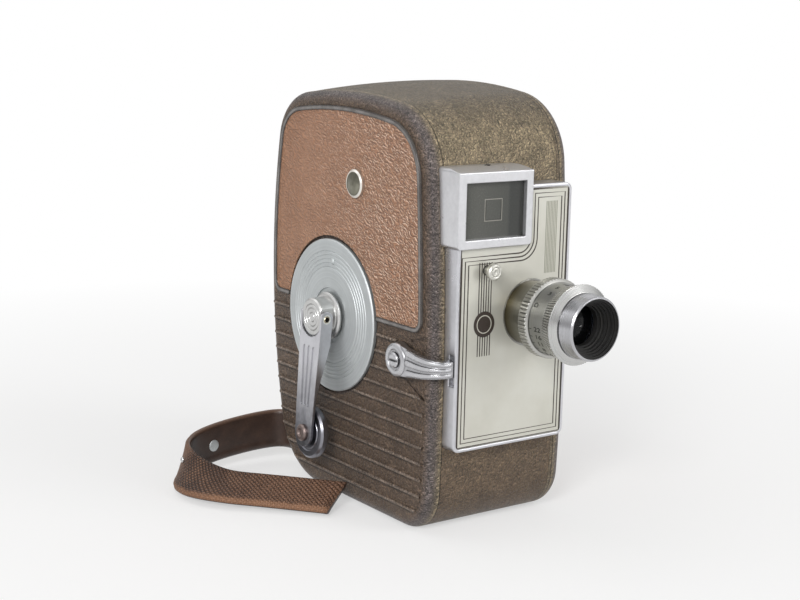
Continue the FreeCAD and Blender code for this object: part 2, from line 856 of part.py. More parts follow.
def cover_stud():
    edge = s.stud_radius
    base = s.leather_proud
    cap = edge - 0.9
    rise = sized(0.45)
    stud = turned("cover_stud", [
        (0, -0.9), (edge - 0.8, -0.9), (edge - 0.8, base), (edge, base), (edge, base + 0.7),
        (edge - 0.5, base + 1.1), (cap, base + 0.95, dome(cap, rise)), (0, base + 0.95 + rise)],
        SIDE, s.stud_y, STUD_Z, TO_LEFT)
    return keep("cover_stud", stud)


def winding_disc():
    """Ringed disc round the crank, with a flat rim and a fine stepped dish."""
    face = s.disc_proud
    radius = s.disc_radius
    rings = []
    for number in range(5):
        outer = 19.8 - number * 1.2
        rings += [(outer, face), (outer - 0.25, face - s.ring_groove), (outer - 0.5, face)]
    profile = [(s.winding_arbor_radius + 0.2, -0.55), (radius - 0.2, -0.55), (radius, -0.35),
               (radius, face - 0.35), (radius - 0.35, face)]
    profile += rings + [(8.5, face), (8.5, face - 0.5), (s.winding_arbor_radius + 0.2, face - 0.5)]
    return keep("winding_disc", turned("winding_disc", profile, SIDE, s.disc_y, s.disc_z, TO_LEFT))


# Front: tray, face plate, finder, lens socket and button

def tray_box(inset):
    corner = s.tray_corner - inset
    return rounded_box(-s.tray_left + inset, s.tray_right - inset,
                       s.tray_bottom + inset, TRAY_TOP - inset, corner)


def finder_area(clearance):
    return box(-60, s.finder_right + clearance, FINDER_LOW - clearance, s.body_height)


TRAY_FLOOR = PLATE + s.plate_recess


def front_tray(form):
    tray = slab("tray_block", "XZ_Plane", PLATE, FRONT + 5, polygon(tray_box(0)))
    fillet_edges(tray, "tray_rim", lies_at("Y", PLATE), 0.4)
    add_cut(tray, "tray_front", "XZ_Plane", PLATE - 1, TRAY_FLOOR, polygon(tray_box(s.tray_wall)))
    add_cut(tray, "tray_back", "XZ_Plane", TRAY_FLOOR + s.tray_floor, FRONT + 6,
            polygon(tray_box(s.tray_wall)))
    add_cut(tray, "tray_under_finder", "XZ_Plane", PLATE - 1, FRONT + 6,
            polygon(finder_area(s.running_clearance)))
    add_cut(tray, "tray_lens_hole", "XZ_Plane", PLATE - 1, FRONT + 6,
            disc(s.lens_x, s.lens_z, s.socket_body + 0.05))
    add_cut(tray, "tray_button_hole", "XZ_Plane", PLATE - 1, FRONT,
            disc(s.button_x, s.button_z, s.button_stem + 0.05))
    wall = s.tray_wall
    add_slab(tray, "notch_backing", "XZ_Plane", TRAY_FLOOR + s.tray_floor / 2, PLATE + s.notch_back + wall,
             polygon(box(-s.tray_left + wall / 2, -s.tray_left + s.notch_depth + wall,
                         s.notch_bottom - wall, s.notch_top + wall)))
    add_cut(tray, "lever_notch", "XZ_Plane", TRAY_FLOOR, PLATE + s.notch_back,
            polygon(box(-s.tray_left - 1, -s.tray_left + s.notch_depth, s.notch_bottom, s.notch_top)))
    return keep("front_tray", difference("front_tray_fitted", tray, [form]))


def face_plate():
    room = s.tray_wall + 0.05
    plate = slab("face_plate", "XZ_Plane", PLATE + 0.05, TRAY_FLOOR, polygon(tray_box(room)))
    add_cut(plate, "plate_finder_corner", "XZ_Plane", PLATE - 1, TRAY_FLOOR + 1,
            polygon(finder_area(0.15)))
    add_cut(plate, "plate_lens_hole", "XZ_Plane", PLATE - 1, TRAY_FLOOR + 1,
            disc(s.lens_x, s.lens_z, s.socket_radius + 0.1))
    add_cut(plate, "plate_button_hole", "XZ_Plane", PLATE - 1, TRAY_FLOOR + 1,
            disc(s.button_x, s.button_z, s.button_stem + 0.3))
    return keep("face_plate", plate)


def finder_housing(form):
    front = PLATE - s.finder_proud
    back = FRONT + 7
    top = FINDER_TOP + s.finder_rise
    block = slab("finder_block", "XZ_Plane", front, back, polygon(
        rounded_box(-s.finder_left, s.finder_right, FINDER_LOW, top, s.finder_corner)))
    add_cut(block, "finder_hollow", "XZ_Plane", front + s.window_setback, back + 1,
            polygon(box(-s.window_left - WINDOW_SIDE, s.window_right + WINDOW_SIDE,
                        WINDOW_LOW - WINDOW_SILL, WINDOW_TOP + WINDOW_SILL)))
    add_cut(block, "finder_window_opening", "XZ_Plane", front - 1, back,
            polygon(box(-s.window_left, s.window_right, WINDOW_LOW, WINDOW_TOP)))
    add_cut(block, "finder_top_hole", "XY_Plane", WINDOW_TOP, top + 1,
            disc(s.finder_hole_x, PLATE + s.finder_hole_back, s.finder_hole_radius))
    slope = slab("finder_slope", "YZ_Plane", -s.finder_left - 1, s.finder_right + 1, polygon([
        (front - 1, FINDER_LOW - 1), (back + 1, FINDER_LOW - 1), (back + 1, top),
        (front + 5.8, top), (front, FINDER_TOP), (front - 1, FINDER_TOP)]))
    sloped = overlap_of("finder_sloped", [block, slope])
    return keep("finder_housing", difference("finder_fitted", sloped, [form]))


def finder_window():
    front = PLATE - s.finder_proud + s.window_setback
    room = s.running_clearance
    glass = slab("finder_window", "XZ_Plane", front, front + s.window_glass, polygon(
        box(-s.window_left - WINDOW_SIDE + room, s.window_right + WINDOW_SIDE - room,
            WINDOW_LOW - WINDOW_SILL + room, WINDOW_TOP + WINDOW_SILL - room)))
    middle_x = (s.window_right - s.window_left) / 2
    middle_z = (WINDOW_LOW + WINDOW_TOP) / 2
    half = s.finder_mark_half
    add_cut(glass, "finder_mark", "XZ_Plane", front - 1, front + 0.1,
            polygon(box(middle_x - half, middle_x + half, middle_z - half, middle_z + half)))
    add_slab(glass, "finder_mark_inside", "XZ_Plane", front, front + 0.2,
             polygon(box(middle_x - half + 0.4, middle_x + half - 0.4,
                         middle_z - half + 0.4, middle_z + half - 0.4)))
    return keep("finder_window", glass)


def finder_tube():
    wall = s.tube_wall
    front = FRONT + 1.0
    back = s.eye_seat - 1.8
    tube = slab("finder_tube", "XZ_Plane", front, back,
                polygon(box(-s.tube_left, -s.tube_right, TUBE_LOW, TUBE_HIGH)))
    add_cut(tube, "tube_inside", "XZ_Plane", front - 1, back + 1,
            polygon(box(-s.tube_left + wall, -s.tube_right - wall, TUBE_LOW + wall, TUBE_HIGH - wall)))
    return keep("finder_tube", tube)


def finder_eyepiece():
    flange = s.eye_flange
    bore = s.eye_bore
    seat = s.eye_half
    length = s.rear_reach + 0.6 - s.eye_seat
    cup = turned("finder_eyepiece", [
        (seat, -1.1), (flange, -1.1), (flange, length - 0.5), (flange - 0.5, length), (bore + 0.6, length),
        (bore, length - 0.6), (bore, 0.9), (seat, 0.9)], TUBE_X, s.eye_seat, EYE_Z, TO_REAR)
    return keep("finder_eyepiece", cup)


def eyepiece_lens():
    edge = s.eye_half - s.running_clearance
    lens = turned("eyepiece_lens", [
        (0, -0.8), (edge - 0.6, -0.4), (edge, -0.4), (edge, 0.85), (s.eye_bore, 0.85), (0, 1.1)],
        TUBE_X, s.eye_seat, EYE_Z, TO_REAR)
    return keep("eyepiece_lens", lens)


def front_button():
    reach = s.button_reach
    stem = s.button_stem
    head = s.button_radius
    inside = -(s.plate_recess + s.tray_floor)
    end = PLATE - (s.shutter_y - s.shutter_sheet / 2) + s.button_travel + 0.4
    button = turned("front_button", [
        (0, end), (stem, end), (stem, inside - 0.9), (stem + 0.8, inside - 0.9), (stem + 0.8, inside - 0.1),
        (stem, inside - 0.1), (stem, reach - 1.5), (head, reach - 1.5), (head, reach - 0.4),
        (head - 0.4, reach), (1.5, reach), (1.3, reach - 0.2), (1.1, reach), (0.5, reach),
        (0.4, reach - 0.15), (0, reach - 0.15)], s.button_x, PLATE, s.button_z, TO_FRONT)
    return keep("front_button", button)


# Lens. Distances along it are measured forwards from the front of the face plate.

def lens_part(name, profile):
    return turned(name, profile, s.lens_x, PLATE, s.lens_z, TO_FRONT)


def lens_socket():
    bore = s.mount_radius + s.running_clearance
    back = -(s.tray_depth + s.band_wall + 0.4)
    socket = lens_part("lens_socket", [
        (bore, -s.mount_length - 0.1), (s.rear_glass_radius + 0.6, -s.mount_length - 0.1),
        (s.rear_glass_radius + 0.6, back), (s.socket_body, back), (s.socket_body, -s.plate_recess),
        (s.socket_radius, -s.plate_recess), (s.socket_radius, 0), (bore, 0)])
    return keep("lens_socket", socket)


def lens_barrel():
    shank = s.mount_radius
    neck = s.neck_radius
    base = s.lens_base_radius
    sleeve = s.sleeve_radius
    nose = s.nose_radius
    bore = s.inner_tube_radius + 0.1
    barrel = lens_part("lens_barrel", [
        (4.2, -s.mount_length), (shank - 0.4, -s.mount_length), (shank, -s.mount_length + 0.4), (shank, 0),
        (base, 0), (base, s.aperture_start), (neck, s.aperture_start), (neck, s.aperture_end + 0.05),
        (sleeve, s.aperture_end + 0.05), (sleeve, s.sleeve_end), (nose, s.sleeve_end), (nose, s.nose_end),
        (bore, s.nose_end), (bore, 10.4), (s.iris_radius + 0.05, 10.4), (s.iris_radius + 0.05, 8.6),
        (s.rear_glass_radius + 0.05, 8.6), (s.rear_glass_radius + 0.05, 0.8), (4.2, 0.8)])
    return keep("lens_barrel", barrel)


def star(outer, depth, teeth, height):
    """Wire of a knurled outline at a height: a shallow groove between every two teeth."""
    points = []
    for number in range(teeth):
        for share, radius in ((0.0, outer), (0.45, outer), (0.72, outer - depth)):
            angle = 2 * math.pi * (number + share) / teeth
            points.append(Vector(radius * math.cos(angle), radius * math.sin(angle), height))
    return Part.makePolygon(points + points[:1])


def value(name):
    return float(sheet.get(name))


def solid(name, shape, x, y, z, way):
    """A piece whose shape is worked out here from the sheet's values."""
    thing = doc.addObject("Part::Feature", name)
    thing.Shape = shape
    return place(thing, x, y, z, way)


def knurled(name, start, end, first, last, depth, teeth):
    """Knurled sleeve along the lens axis, from one radius to another."""
    wires = [star(value(first), value(depth), teeth, value(start)),
             star(value(last), value(depth), teeth, value(end))]
    return solid(name, Part.makeLoft(wires, True, True), s.lens_x, PLATE, s.lens_z, TO_FRONT)


def aperture_ring():
    start = s.aperture_start + s.running_clearance
    grip = knurled("aperture_grip", "aperture_start", "aperture_end", "aperture_radius", "aperture_radius",
                   "aperture_tooth", int(value("aperture_teeth")))
    bevel = s.aperture_bevel
    radius = s.aperture_radius
    bore = s.neck_radius + s.running_clearance
    form = lens_part("aperture_form", [
        (bore, start), (radius - 0.4, start), (radius + 0.1, start + 0.4),
        (radius + 0.1, s.aperture_end - bevel), (radius - 0.8, s.aperture_end), (bore, s.aperture_end)])
    return keep("aperture_ring", overlap_of("aperture_ring", [grip, form]))


def focus_ring():
    grip = knurled("focus_grip", "focus_start", "focus_widest", "focus_small_radius", "focus_radius",
                   "focus_tooth", int(value("focus_teeth")))
    bore = s.nose_radius + s.running_clearance
    hub = s.inner_tube_radius + s.running_clearance
    front = s.nose_end + 0.1
    hole = lens_part("focus_bore", [(0, s.focus_start - 1), (bore, s.focus_start - 1), (bore, front), (0, front)])
    sleeve = difference("focus_sleeve", grip, [hole])
    collar = lens_part("focus_collar", [
        (bore, s.focus_widest), (s.focus_radius - 0.15, s.focus_widest), (s.hood_base_radius, s.focus_end),
        (hub, s.focus_end), (hub, front), (bore, front)])
    return keep("focus_ring", union("focus_ring", [sleeve, collar]))


def front_hood():
    """Hood with a stepped black throat, and the tube that carries the front glass."""
    tube = s.inner_tube_radius
    glass = s.front_glass_radius + s.running_clearance
    start = s.focus_end
    end = s.lens_length
    rim = s.hood_rim_radius
    throat = s.hood_throat
    step = (s.hood_bore - throat) / 6
    rise = (end - 0.6 - s.throat_end) / 6
    profile = [(glass, s.inner_tube_start), (tube, s.inner_tube_start), (tube, start),
               (s.hood_base_radius - 0.5, start), (s.hood_base_radius - 0.5, start + 0.5),
               (s.hood_base_radius, start + 0.7), (rim, end - 0.4), (rim - 0.35, end), (s.hood_bore, end)]
    for number in range(6):
        radius = s.hood_bore - step * number
        height = end - 0.6 - rise * number
        profile += [(radius, height), (radius - step, height)]
    profile += [(throat, s.glass_front), (glass, s.glass_front)]
    return keep("front_hood", lens_part("front_hood", profile))


def front_element():
    edge = s.front_glass_radius
    low = s.glass_front - s.front_glass_thickness
    return keep("front_element", lens_part("front_element", [
        (0, low + 0.3), (edge - 0.8, low), (edge, low), (edge, s.glass_front),
        (s.hood_throat, s.glass_front, dome(s.hood_throat, sized(0.9))), (0, s.glass_front + 0.9)]))


def rear_element():
    edge = s.rear_glass_radius
    return keep("rear_element", lens_part("rear_element", [
        (0, 0.4), (4.0, 0.8), (edge, 0.8), (edge, 2.6), (4.0, 2.6), (0, 3.0)]))


def iris_leaves():
    leaves = slab("iris_leaves", "XZ_Plane", PLATE - 9.3, PLATE - 8.6, disc(s.lens_x, s.lens_z, s.iris_radius))
    opening = []
    for number in range(6):
        angle = math.radians(60 * number)
        opening.append((s.lens_x + s.iris_opening * math.cos(angle), s.lens_z + s.iris_opening * math.sin(angle)))
    add_cut(leaves, "iris_hole", "XZ_Plane", PLATE - 10, PLATE - 8, polygon(opening))
    return keep("iris_leaves", leaves)


# Crank, in the frame of its fold pin while it is worked out

PIN_X = SIDE - s.crank_pin_reach
ARM_TURN = Rotation(Vector(0, 1, 0), float(s.arm_lean))
TO_RIGHT_LEANING = ARM_TURN.multiply(TO_RIGHT)


def crank_hub():
    reach = s.crank_reach
    head = s.crank_head
    flange = s.crank_flange
    base = s.disc_proud + 0.25
    stub = s.arbor_stub_radius + 0.03
    blind = s.crank_pin_reach - s.crank_pin_radius - 0.1
    form = turned("hub_form", [
        (stub, base), (flange - 0.3, base), (flange, base + 0.3), (flange, base + 0.8), (flange - 0.6, base + 1.2),
        (head, base + 1.3), (head, reach - 0.5), (head - 0.5, reach), (4.2, reach), (4.0, reach - 0.25),
        (3.8, reach), (3.0, reach), (2.8, reach - 0.25), (2.6, reach), (1.6, reach), (1.4, reach - 0.25),
        (1.2, reach), (0, reach), (0, blind), (stub, blind)], SIDE, s.disc_y, s.disc_z, TO_LEFT)
    flats = []
    for number, side in enumerate((1, -1)):
        near = s.disc_y + s.crank_flat * side
        far = s.disc_y + (head + 1) * side
        low, high = (near, far) if side > 0 else (far, near)
        flats.append(slab(f"hub_flat_{number + 1}", "YZ_Plane", SIDE - reach - 1, SIDE - base - 1.6,
                          polygon(box(low, high, s.disc_z - 8, s.disc_z + 8))))
    hole = cylinder("hub_pin_hole", s.crank_pin_radius + 0.02, 14, PIN_X, s.disc_y - 7, s.disc_z, TO_REAR)
    return keep("crank_hub", difference("crank_hub_cut", form, flats + [hole]))


def winding_arbor():
    """Square-shouldered shaft from the crank through the ratchet into the spring barrel."""
    shaft = s.winding_arbor_radius
    stub = s.arbor_stub_radius
    core = s.arbor_core_radius
    inside_left = s.half_width - s.barrel_left + s.barrel_wall + 0.2
    inside_right = s.half_width - s.barrel_right - s.barrel_wall - 0.2
    end = s.half_width - s.partition_right - 0.1
    stub_end = s.crank_pin_reach - s.crank_pin_radius - 0.2
    arbor = turned("winding_arbor", [
        (0, -end), (s.arbor_end_radius, -end), (s.arbor_end_radius, -inside_right), (core, -inside_right),
        (core, -inside_left), (shaft, -inside_left), (shaft, s.disc_proud + 0.2), (stub, s.disc_proud + 0.2),
        (stub, stub_end), (0, stub_end)], SIDE, s.disc_y, s.disc_z, TO_LEFT)
    return keep("winding_arbor", arbor)


def crank_pin():
    half = s.arm_half_width + 0.15
    pin = turned("crank_pin", [
        (0, -half), (s.crank_pin_radius - 0.2, -half), (s.crank_pin_radius, -half + 0.2),
        (s.crank_pin_radius, half - 0.2), (s.crank_pin_radius - 0.2, half), (0, half)],
        PIN_X, s.disc_y, s.disc_z, TO_REAR)
    return keep("crank_pin", pin)


def arm_outline(inset, top):
    half = s.arm_half_width - inset
    tip = s.arm_tip_radius - inset
    low = -s.arm_length
    return [(-tip, low, tip), (0, low - tip, tip), (tip, low),
            (half, -2.0), (half, top), (-half, top), (-half, -2.0)]


def crank_arm():
    front = -s.arm_front
    back = front + s.arm_sheet
    block = slab("arm_block", "YZ_Plane", front, 3, polygon(arm_outline(0, 3)))
    rise = square_root(s.cheek_radius * s.cheek_radius - s.cheek_depth * s.cheek_depth)
    front_rise = square_root(s.cheek_radius * s.cheek_radius - s.arm_front * s.arm_front)
    side = slab("arm_side", "XZ_Plane", -8, 8, polygon([
        (front, -s.arm_length - 6), (back, -s.arm_length - 6), (back, -s.cheek_length),
        (s.cheek_depth, -s.cheek_straight), (s.cheek_depth, rise, s.cheek_radius), (front, front_rise)]))
    channel = slab("arm_channel", "YZ_Plane", back, 4, polygon(arm_outline(s.cheek_sheet, 4)))
    half = s.arm_half_width - s.cheek_sheet
    bend = s.crank_head + 0.25
    low = -square_root(bend * bend - half * half)
    notch = slab("arm_notch", "YZ_Plane", front - 1, back + 0.5, polygon([
        (-half, low, bend), (half, low), (half, 4), (-half, 4)]))
    pin_hole = cylinder("arm_pin_hole", s.crank_pin_radius + 0.02, 14, 0, -7, 0, TO_REAR)
    rivet_hole = cylinder("arm_rivet_hole", s.rivet_radius + 0.02, 6, -4, 0, -s.arm_length, TO_RIGHT)
    flutes = []
    for number in (-1, 0, 1):
        middle = number * 2.5
        width = s.flute_width / 2
        flutes.append(slab(f"arm_flute_{number + 2}", "YZ_Plane", front - 1, front + s.flute_depth, polygon([
            (middle * 0.72 - width * 0.8, -27.0, 0.85 * width), (middle * 0.72 + width * 0.8, -27.0),
            (middle + width, -9.5, width * 1.02), (middle - width, -9.5)])))
    common = overlap_of("arm_form", [block, side])
    arm = difference("crank_arm_cut", common, [channel, notch, pin_hole, rivet_hole] + flutes)
    place(arm, PIN_X, s.disc_y, s.disc_z, ARM_TURN)
    return keep("crank_arm", arm)


def leaning(name, profile):
    """Turned piece on the knob's axis, which leans with the arm."""
    lean = math.radians(float(s.arm_lean))
    length = s.arm_length
    x = PIN_X - length * math.sin(lean)
    z = s.disc_z - length * math.cos(lean)
    return turned(name, profile, x, s.disc_y, z, TO_RIGHT_LEANING)


def crank_knob():
    boss = s.arm_sheet - s.arm_front + s.running_clearance
    face = boss + 0.9
    back = face + s.crank_knob_thickness
    radius = s.crank_knob_radius
    bore = s.rivet_radius + 0.05
    knob = leaning("crank_knob", [
        (bore, boss), (s.crank_knob_boss, boss), (s.crank_knob_boss, face), (5.0, face), (5.2, face + 0.25),
        (5.6, face + 0.25), (5.8, face), (radius - 0.6, face), (radius, face + 0.6), (radius, back - 0.8),
        (radius - 0.8, back), (s.rivet_head + 0.3, back), (s.rivet_head + 0.3, back - 0.9), (bore, back - 0.9)])
    return keep("crank_knob", knob)


def knob_rivet():
    front = -s.arm_front
    back = s.arm_sheet - s.arm_front + 0.9 + s.crank_knob_thickness + s.running_clearance
    rivet = leaning("knob_rivet", [
        (0, front - 0.5), (1.0, front - 0.5), (1.3, front - 1.05), (s.rivet_head - 0.5, front - 1.05),
        (s.rivet_head, front - 0.6), (s.rivet_head, front), (s.rivet_radius, front),
        (s.rivet_radius, back - 0.85), (s.rivet_head, back - 0.85), (s.rivet_head - 0.4, back), (0, back)])
    return keep("knob_rivet", rivet)


# Release lever

LEVER_FACE = SIDE - s.lever_reach


def lever_turned(name, profile):
    return turned(name, profile, SIDE, s.lever_y, s.lever_z, TO_LEFT)


def release_lever():
    gap = s.lever_gap
    face = s.lever_reach
    radius = s.lever_hub_radius
    hub = lever_turned("lever_hub", [
        (s.lever_shaft_radius + 0.03, gap), (radius, gap), (radius, face - 0.9), (radius - 0.25, face - 0.35),
        (radius - 0.9, face), (s.lever_screw_radius + 1.0, face), (s.lever_screw_radius + 0.8, face - 0.3),
        (s.lever_shaft_radius + 0.03, face - 0.3)])
    outer = LEVER_FACE + 0.6
    inner = outer + s.lever_sheet
    bend = s.lever_bend
    tip_y = s.lever_tip_y
    tip_x = s.lever_tip_x + 0.8
    half = s.lever_sheet / 2

    def plan(lift):
        return [
            (inner, s.lever_y), (outer - lift, s.lever_y), (outer - lift, -41.2, bend + 1.9 + lift),
            (tip_x - 3.4, tip_y + 0.35 - lift * 0.6), (tip_x, tip_y - 0.2 - lift * 0.2),
            (tip_x, tip_y - 0.2 + 1.8), (tip_x - 2.8, tip_y + 2.0, -bend), (inner, -41.2)]

    arm = slab("lever_arm_plan", "XY_Plane", s.lever_z - 6, s.lever_z + 6, polygon(plan(0)))
    front = tip_y - 2
    side = slab("lever_arm_side", "YZ_Plane", LEVER_FACE - 2, tip_x + 1, polygon([
        (front, s.lever_z - 2.3), (s.lever_y - 3, s.lever_z - 4.3), (s.lever_y + 0.5, s.lever_z - 4.6),
        (s.lever_y + 0.5, s.lever_z + 4.6), (s.lever_y - 3, s.lever_z + 4.3), (front, s.lever_z + 1.6)]))
    arm_form = overlap_of("lever_arm_form", [arm, side])
    lifted = slab("lever_rib_plan", "XY_Plane", s.lever_z - 6, s.lever_z + 6, polygon(plan(s.lever_rib)))
    strips = []
    for number, (root, end) in enumerate(((3.0, 1.1), (0.1, -0.3), (-2.8, -1.7))):
        strips.append(slab(f"lever_strip_{number + 1}", "YZ_Plane", LEVER_FACE - 2, tip_x - 1.2, polygon([
            (tip_y - 0.9, s.lever_z + end - 0.32), (s.lever_y - 5.6, s.lever_z + root - 0.8, 0.85),
            (s.lever_y - 5.6, s.lever_z + root + 0.8), (tip_y - 0.9, s.lever_z + end + 0.32)])))
    ribs = overlap_of("lever_ribs", [lifted, union("lever_strips", strips)])
    bore = cylinder("lever_bore", s.lever_shaft_radius + 0.03, 8, SIDE - 6, s.lever_y, s.lever_z, TO_RIGHT)
    arm_clear = difference("lever_arm_bored", union("lever_arm", [arm_form, ribs]), [bore])
    return keep("release_lever", union("release_lever", [hub, arm_clear]))


def lever_screw():
    """Shoulder screw that the lever turns with, slotted outside and collared inside."""
    inside = -s.cover_wall
    shaft = s.lever_shaft_radius
    start = s.lever_reach - 0.3
    head = s.lever_screw_radius
    form = lever_turned("lever_screw_form", [
        (0, inside - 1.6), (shaft, inside - 1.6), (shaft, inside - 1.2), (shaft + 1.4, inside - 1.2),
        (shaft + 1.4, inside - 0.2), (shaft, inside - 0.2), (shaft, start), (head, start), (head, start + 0.5),
        (head - 0.5, start + 0.9), (0, start + 0.95)])
    slot = slab("lever_screw_slot", "YZ_Plane", SIDE - start - 1.2, SIDE - start - 0.5,
                polygon(box(s.lever_y - 3, s.lever_y + 3, s.lever_z - 0.3, s.lever_z + 0.3)))
    return keep("lever_screw", difference("lever_screw_cut", form, [slot]))


# Mechanism between the winding side and the film chamber

PARTITION_LEFT = -s.partition_left
PARTITION_RIGHT = -s.partition_right
BRIDGE_OUTER = -s.bridge_outer
BRIDGE_INNER = -s.bridge_inner
TRAIN_DISTANCE = (s.main_teeth + s.pinion_teeth) * s.main_module / 2
THIRD_DISTANCE = (s.second_teeth + s.pinion_teeth) * s.wheel_module / 2


def second_place():
    """Where the second arbor stands: at both of its meshing distances."""
    dy = s.third_y - s.disc_y
    dz = s.third_z - s.disc_z
    gap = square_root(dy * dy + dz * dz)
    along = (TRAIN_DISTANCE * TRAIN_DISTANCE - THIRD_DISTANCE * THIRD_DISTANCE + gap * gap) / (gap * 2)
    aside = square_root(TRAIN_DISTANCE * TRAIN_DISTANCE - along * along)
    return (s.disc_y + along * dy / gap - aside * dz / gap, s.disc_z + along * dz / gap + aside * dy / gap)


SECOND_Y, SECOND_Z = second_place()
GOVERNOR_Z = s.third_z + (s.governor_drive_teeth + s.governor_teeth) * s.wheel_module / 2
PILLAR_FRONT = s.third_y - 0.5
PILLAR_REAR = s.disc_y + 24.4
PILLARS = ((PILLAR_FRONT, s.disc_z - 18.6), (PILLAR_REAR, s.disc_z - 22.6), (PILLAR_REAR, s.disc_z + 24.4),
           (PILLAR_FRONT, GOVERNOR_Z + 10))


def mechanism_plate():
    plate = slab("mechanism_plate", "YZ_Plane", PARTITION_LEFT, PARTITION_RIGHT,
                 outline(s.band_wall + 0.1, MIDDLE_HEIGHT - 0.15))
    low, high = PARTITION_LEFT - 1, PARTITION_RIGHT + 1
    add_cut(plate, "shutter_notch", "YZ_Plane", low, high, polygon(
        box(FRONT - 2, s.claw_y + 0.8, s.third_z - s.shutter_radius - 1, s.third_z + s.shutter_radius + 1)))
    add_cut(plate, "bush_notch", "YZ_Plane", low, high, polygon(
        box(-s.bush_flange - 0.4, s.bush_flange + 0.4, 0, s.bush_height + 0.4)))
    holes = (("arbor", s.disc_y, s.disc_z, s.arbor_end_radius),
             ("second", SECOND_Y, SECOND_Z, s.arbor_radius),
             ("third", s.third_y, s.third_z, s.arbor_radius),
             ("governor", s.third_y, GOVERNOR_Z, s.arbor_radius),
             ("feed", s.spindle_y, s.feed_z, s.spindle_shaft),
             ("take_up", s.spindle_y, s.take_up_z, s.spindle_shaft))
    for name, y, z, radius in holes:
        add_cut(plate, f"{name}_bearing", "YZ_Plane", low, high, disc(y, z, radius + s.running_clearance))
    return keep("mechanism_plate", plate)


def mechanism_bridge():
    front = s.third_y - 4.5
    rear = s.disc_y + 28.4
    low_z = s.disc_z - 26.6
    rear_top = s.disc_z + 28.4
    front_top = GOVERNOR_Z + 13.3
    plate = slab("mechanism_bridge", "YZ_Plane", BRIDGE_OUTER, BRIDGE_INNER, polygon([
        (front, low_z + 4, 4.0), (front + 4, low_z), (rear - 4, low_z, 4.0), (rear, low_z + 4),
        (rear, rear_top - 4, 4.0), (rear - 4, rear_top), (rear - 15, rear_top), (rear - 25, rear_top - 5.5),
        (s.third_y + 18, rear_top - 5.5), (s.third_y + 8, front_top), (front + 3.5, front_top, 3.5),
        (front, front_top - 3.5)]))
    low, high = BRIDGE_OUTER - 1, BRIDGE_INNER + 1
    holes = (("winding", s.disc_y, s.disc_z, s.winding_arbor_radius),
             ("second", SECOND_Y, SECOND_Z, s.arbor_radius),
             ("third", s.third_y, s.third_z, s.arbor_radius),
             ("governor", s.third_y, GOVERNOR_Z, s.arbor_radius))
    for name, y, z, radius in holes:
        add_cut(plate, f"bridge_{name}", "YZ_Plane", low, high, disc(y, z, radius + s.running_clearance))
    add_cut(plate, "bridge_window", "YZ_Plane", low, high, polygon(
        rounded_box(s.disc_y + 5.5, s.disc_y + 15.5, s.disc_z + 4, s.disc_z + 14, 4.0)))
    add_cut(plate, "lever_room", "YZ_Plane", low, high, disc(s.lever_y, s.lever_z, 4.2))
    return keep("mechanism_bridge", plate)


def bridge_pillars():
    rods = []
    for number, (y, z) in enumerate(PILLARS):
        rods.append(cylinder(f"pillar_{number + 1}", s.pillar_radius, PARTITION_LEFT - BRIDGE_INNER,
                             BRIDGE_INNER, y, z, TO_RIGHT))
    return keep("bridge_pillars", group("bridge_pillars", rods))


def bridge_screws():
    heads = []
    for number, (y, z) in enumerate(PILLARS):
        head = cylinder(f"screw_head_{number + 1}", s.screw_radius, 0.8, BRIDGE_OUTER - 0.8, y, z, TO_RIGHT)
        slot = slab(f"screw_slot_{number + 1}", "YZ_Plane", BRIDGE_OUTER - 1, BRIDGE_OUTER - 0.4,
                    polygon(box(y - 2, y + 2, z - 0.2, z + 0.2)))
        heads.append(difference(f"screw_{number + 1}", head, [slot]))
    return keep("bridge_screws", group("bridge_screws", heads))


def tooth_angles(centre, other, teeth, on_tooth):
    """Turn of a wheel that puts a tooth, or a gap, on the line to its partner."""
    line = math.atan2(float(other[1]) - float(centre[1]), float(other[0]) - float(centre[0]))
    return line if on_tooth else line + math.pi / teeth


def gear_wire(module, teeth, turn, addendum, height, scale=1.0):
    """Outline of a wheel whose teeth have straight flanks on a wheel and bent ones on a pinion."""
    pitch = module * teeth / 2
    root = pitch - 1.15 * module
    tip = pitch + addendum * module
    quarter = math.pi / (2 * teeth) - value("backlash") / (4 * pitch)
    outline_steps = [(-1.75, root), (-1.0, pitch), (-0.42, tip), (0.42, tip), (1.0, pitch), (1.75, root)]
    points = []
    for number in range(teeth):
        for share, radius in outline_steps:
            angle = turn + 2 * math.pi * number / teeth + share * quarter
            points.append(Vector(radius * math.cos(angle) * scale, radius * math.sin(angle) * scale, height))
    return Part.makePolygon(points + points[:1])


def gear(name, module, teeth, turn, addendum, left, thickness, bore, y, z):
    """Spur wheel standing across the camera: its own x is our y and its own y our z."""
    wheel = Part.Face(gear_wire(module, teeth, turn, addendum, 0)).extrude(Vector(0, 0, thickness))
    wheel = wheel.cut(Part.makeCylinder(bore, thickness + 2, Vector(0, 0, -1)))
    return solid(name, wheel, left, y, z, ACROSS)


ACROSS = Rotation(Vector(0, 1, 0), Vector(0, 0, 1), Vector(1, 0, 0), "ZXY")
WHEEL_TIP = 0.8
PINION_TIP = 0.9
BEVEL_TIP = 0.6


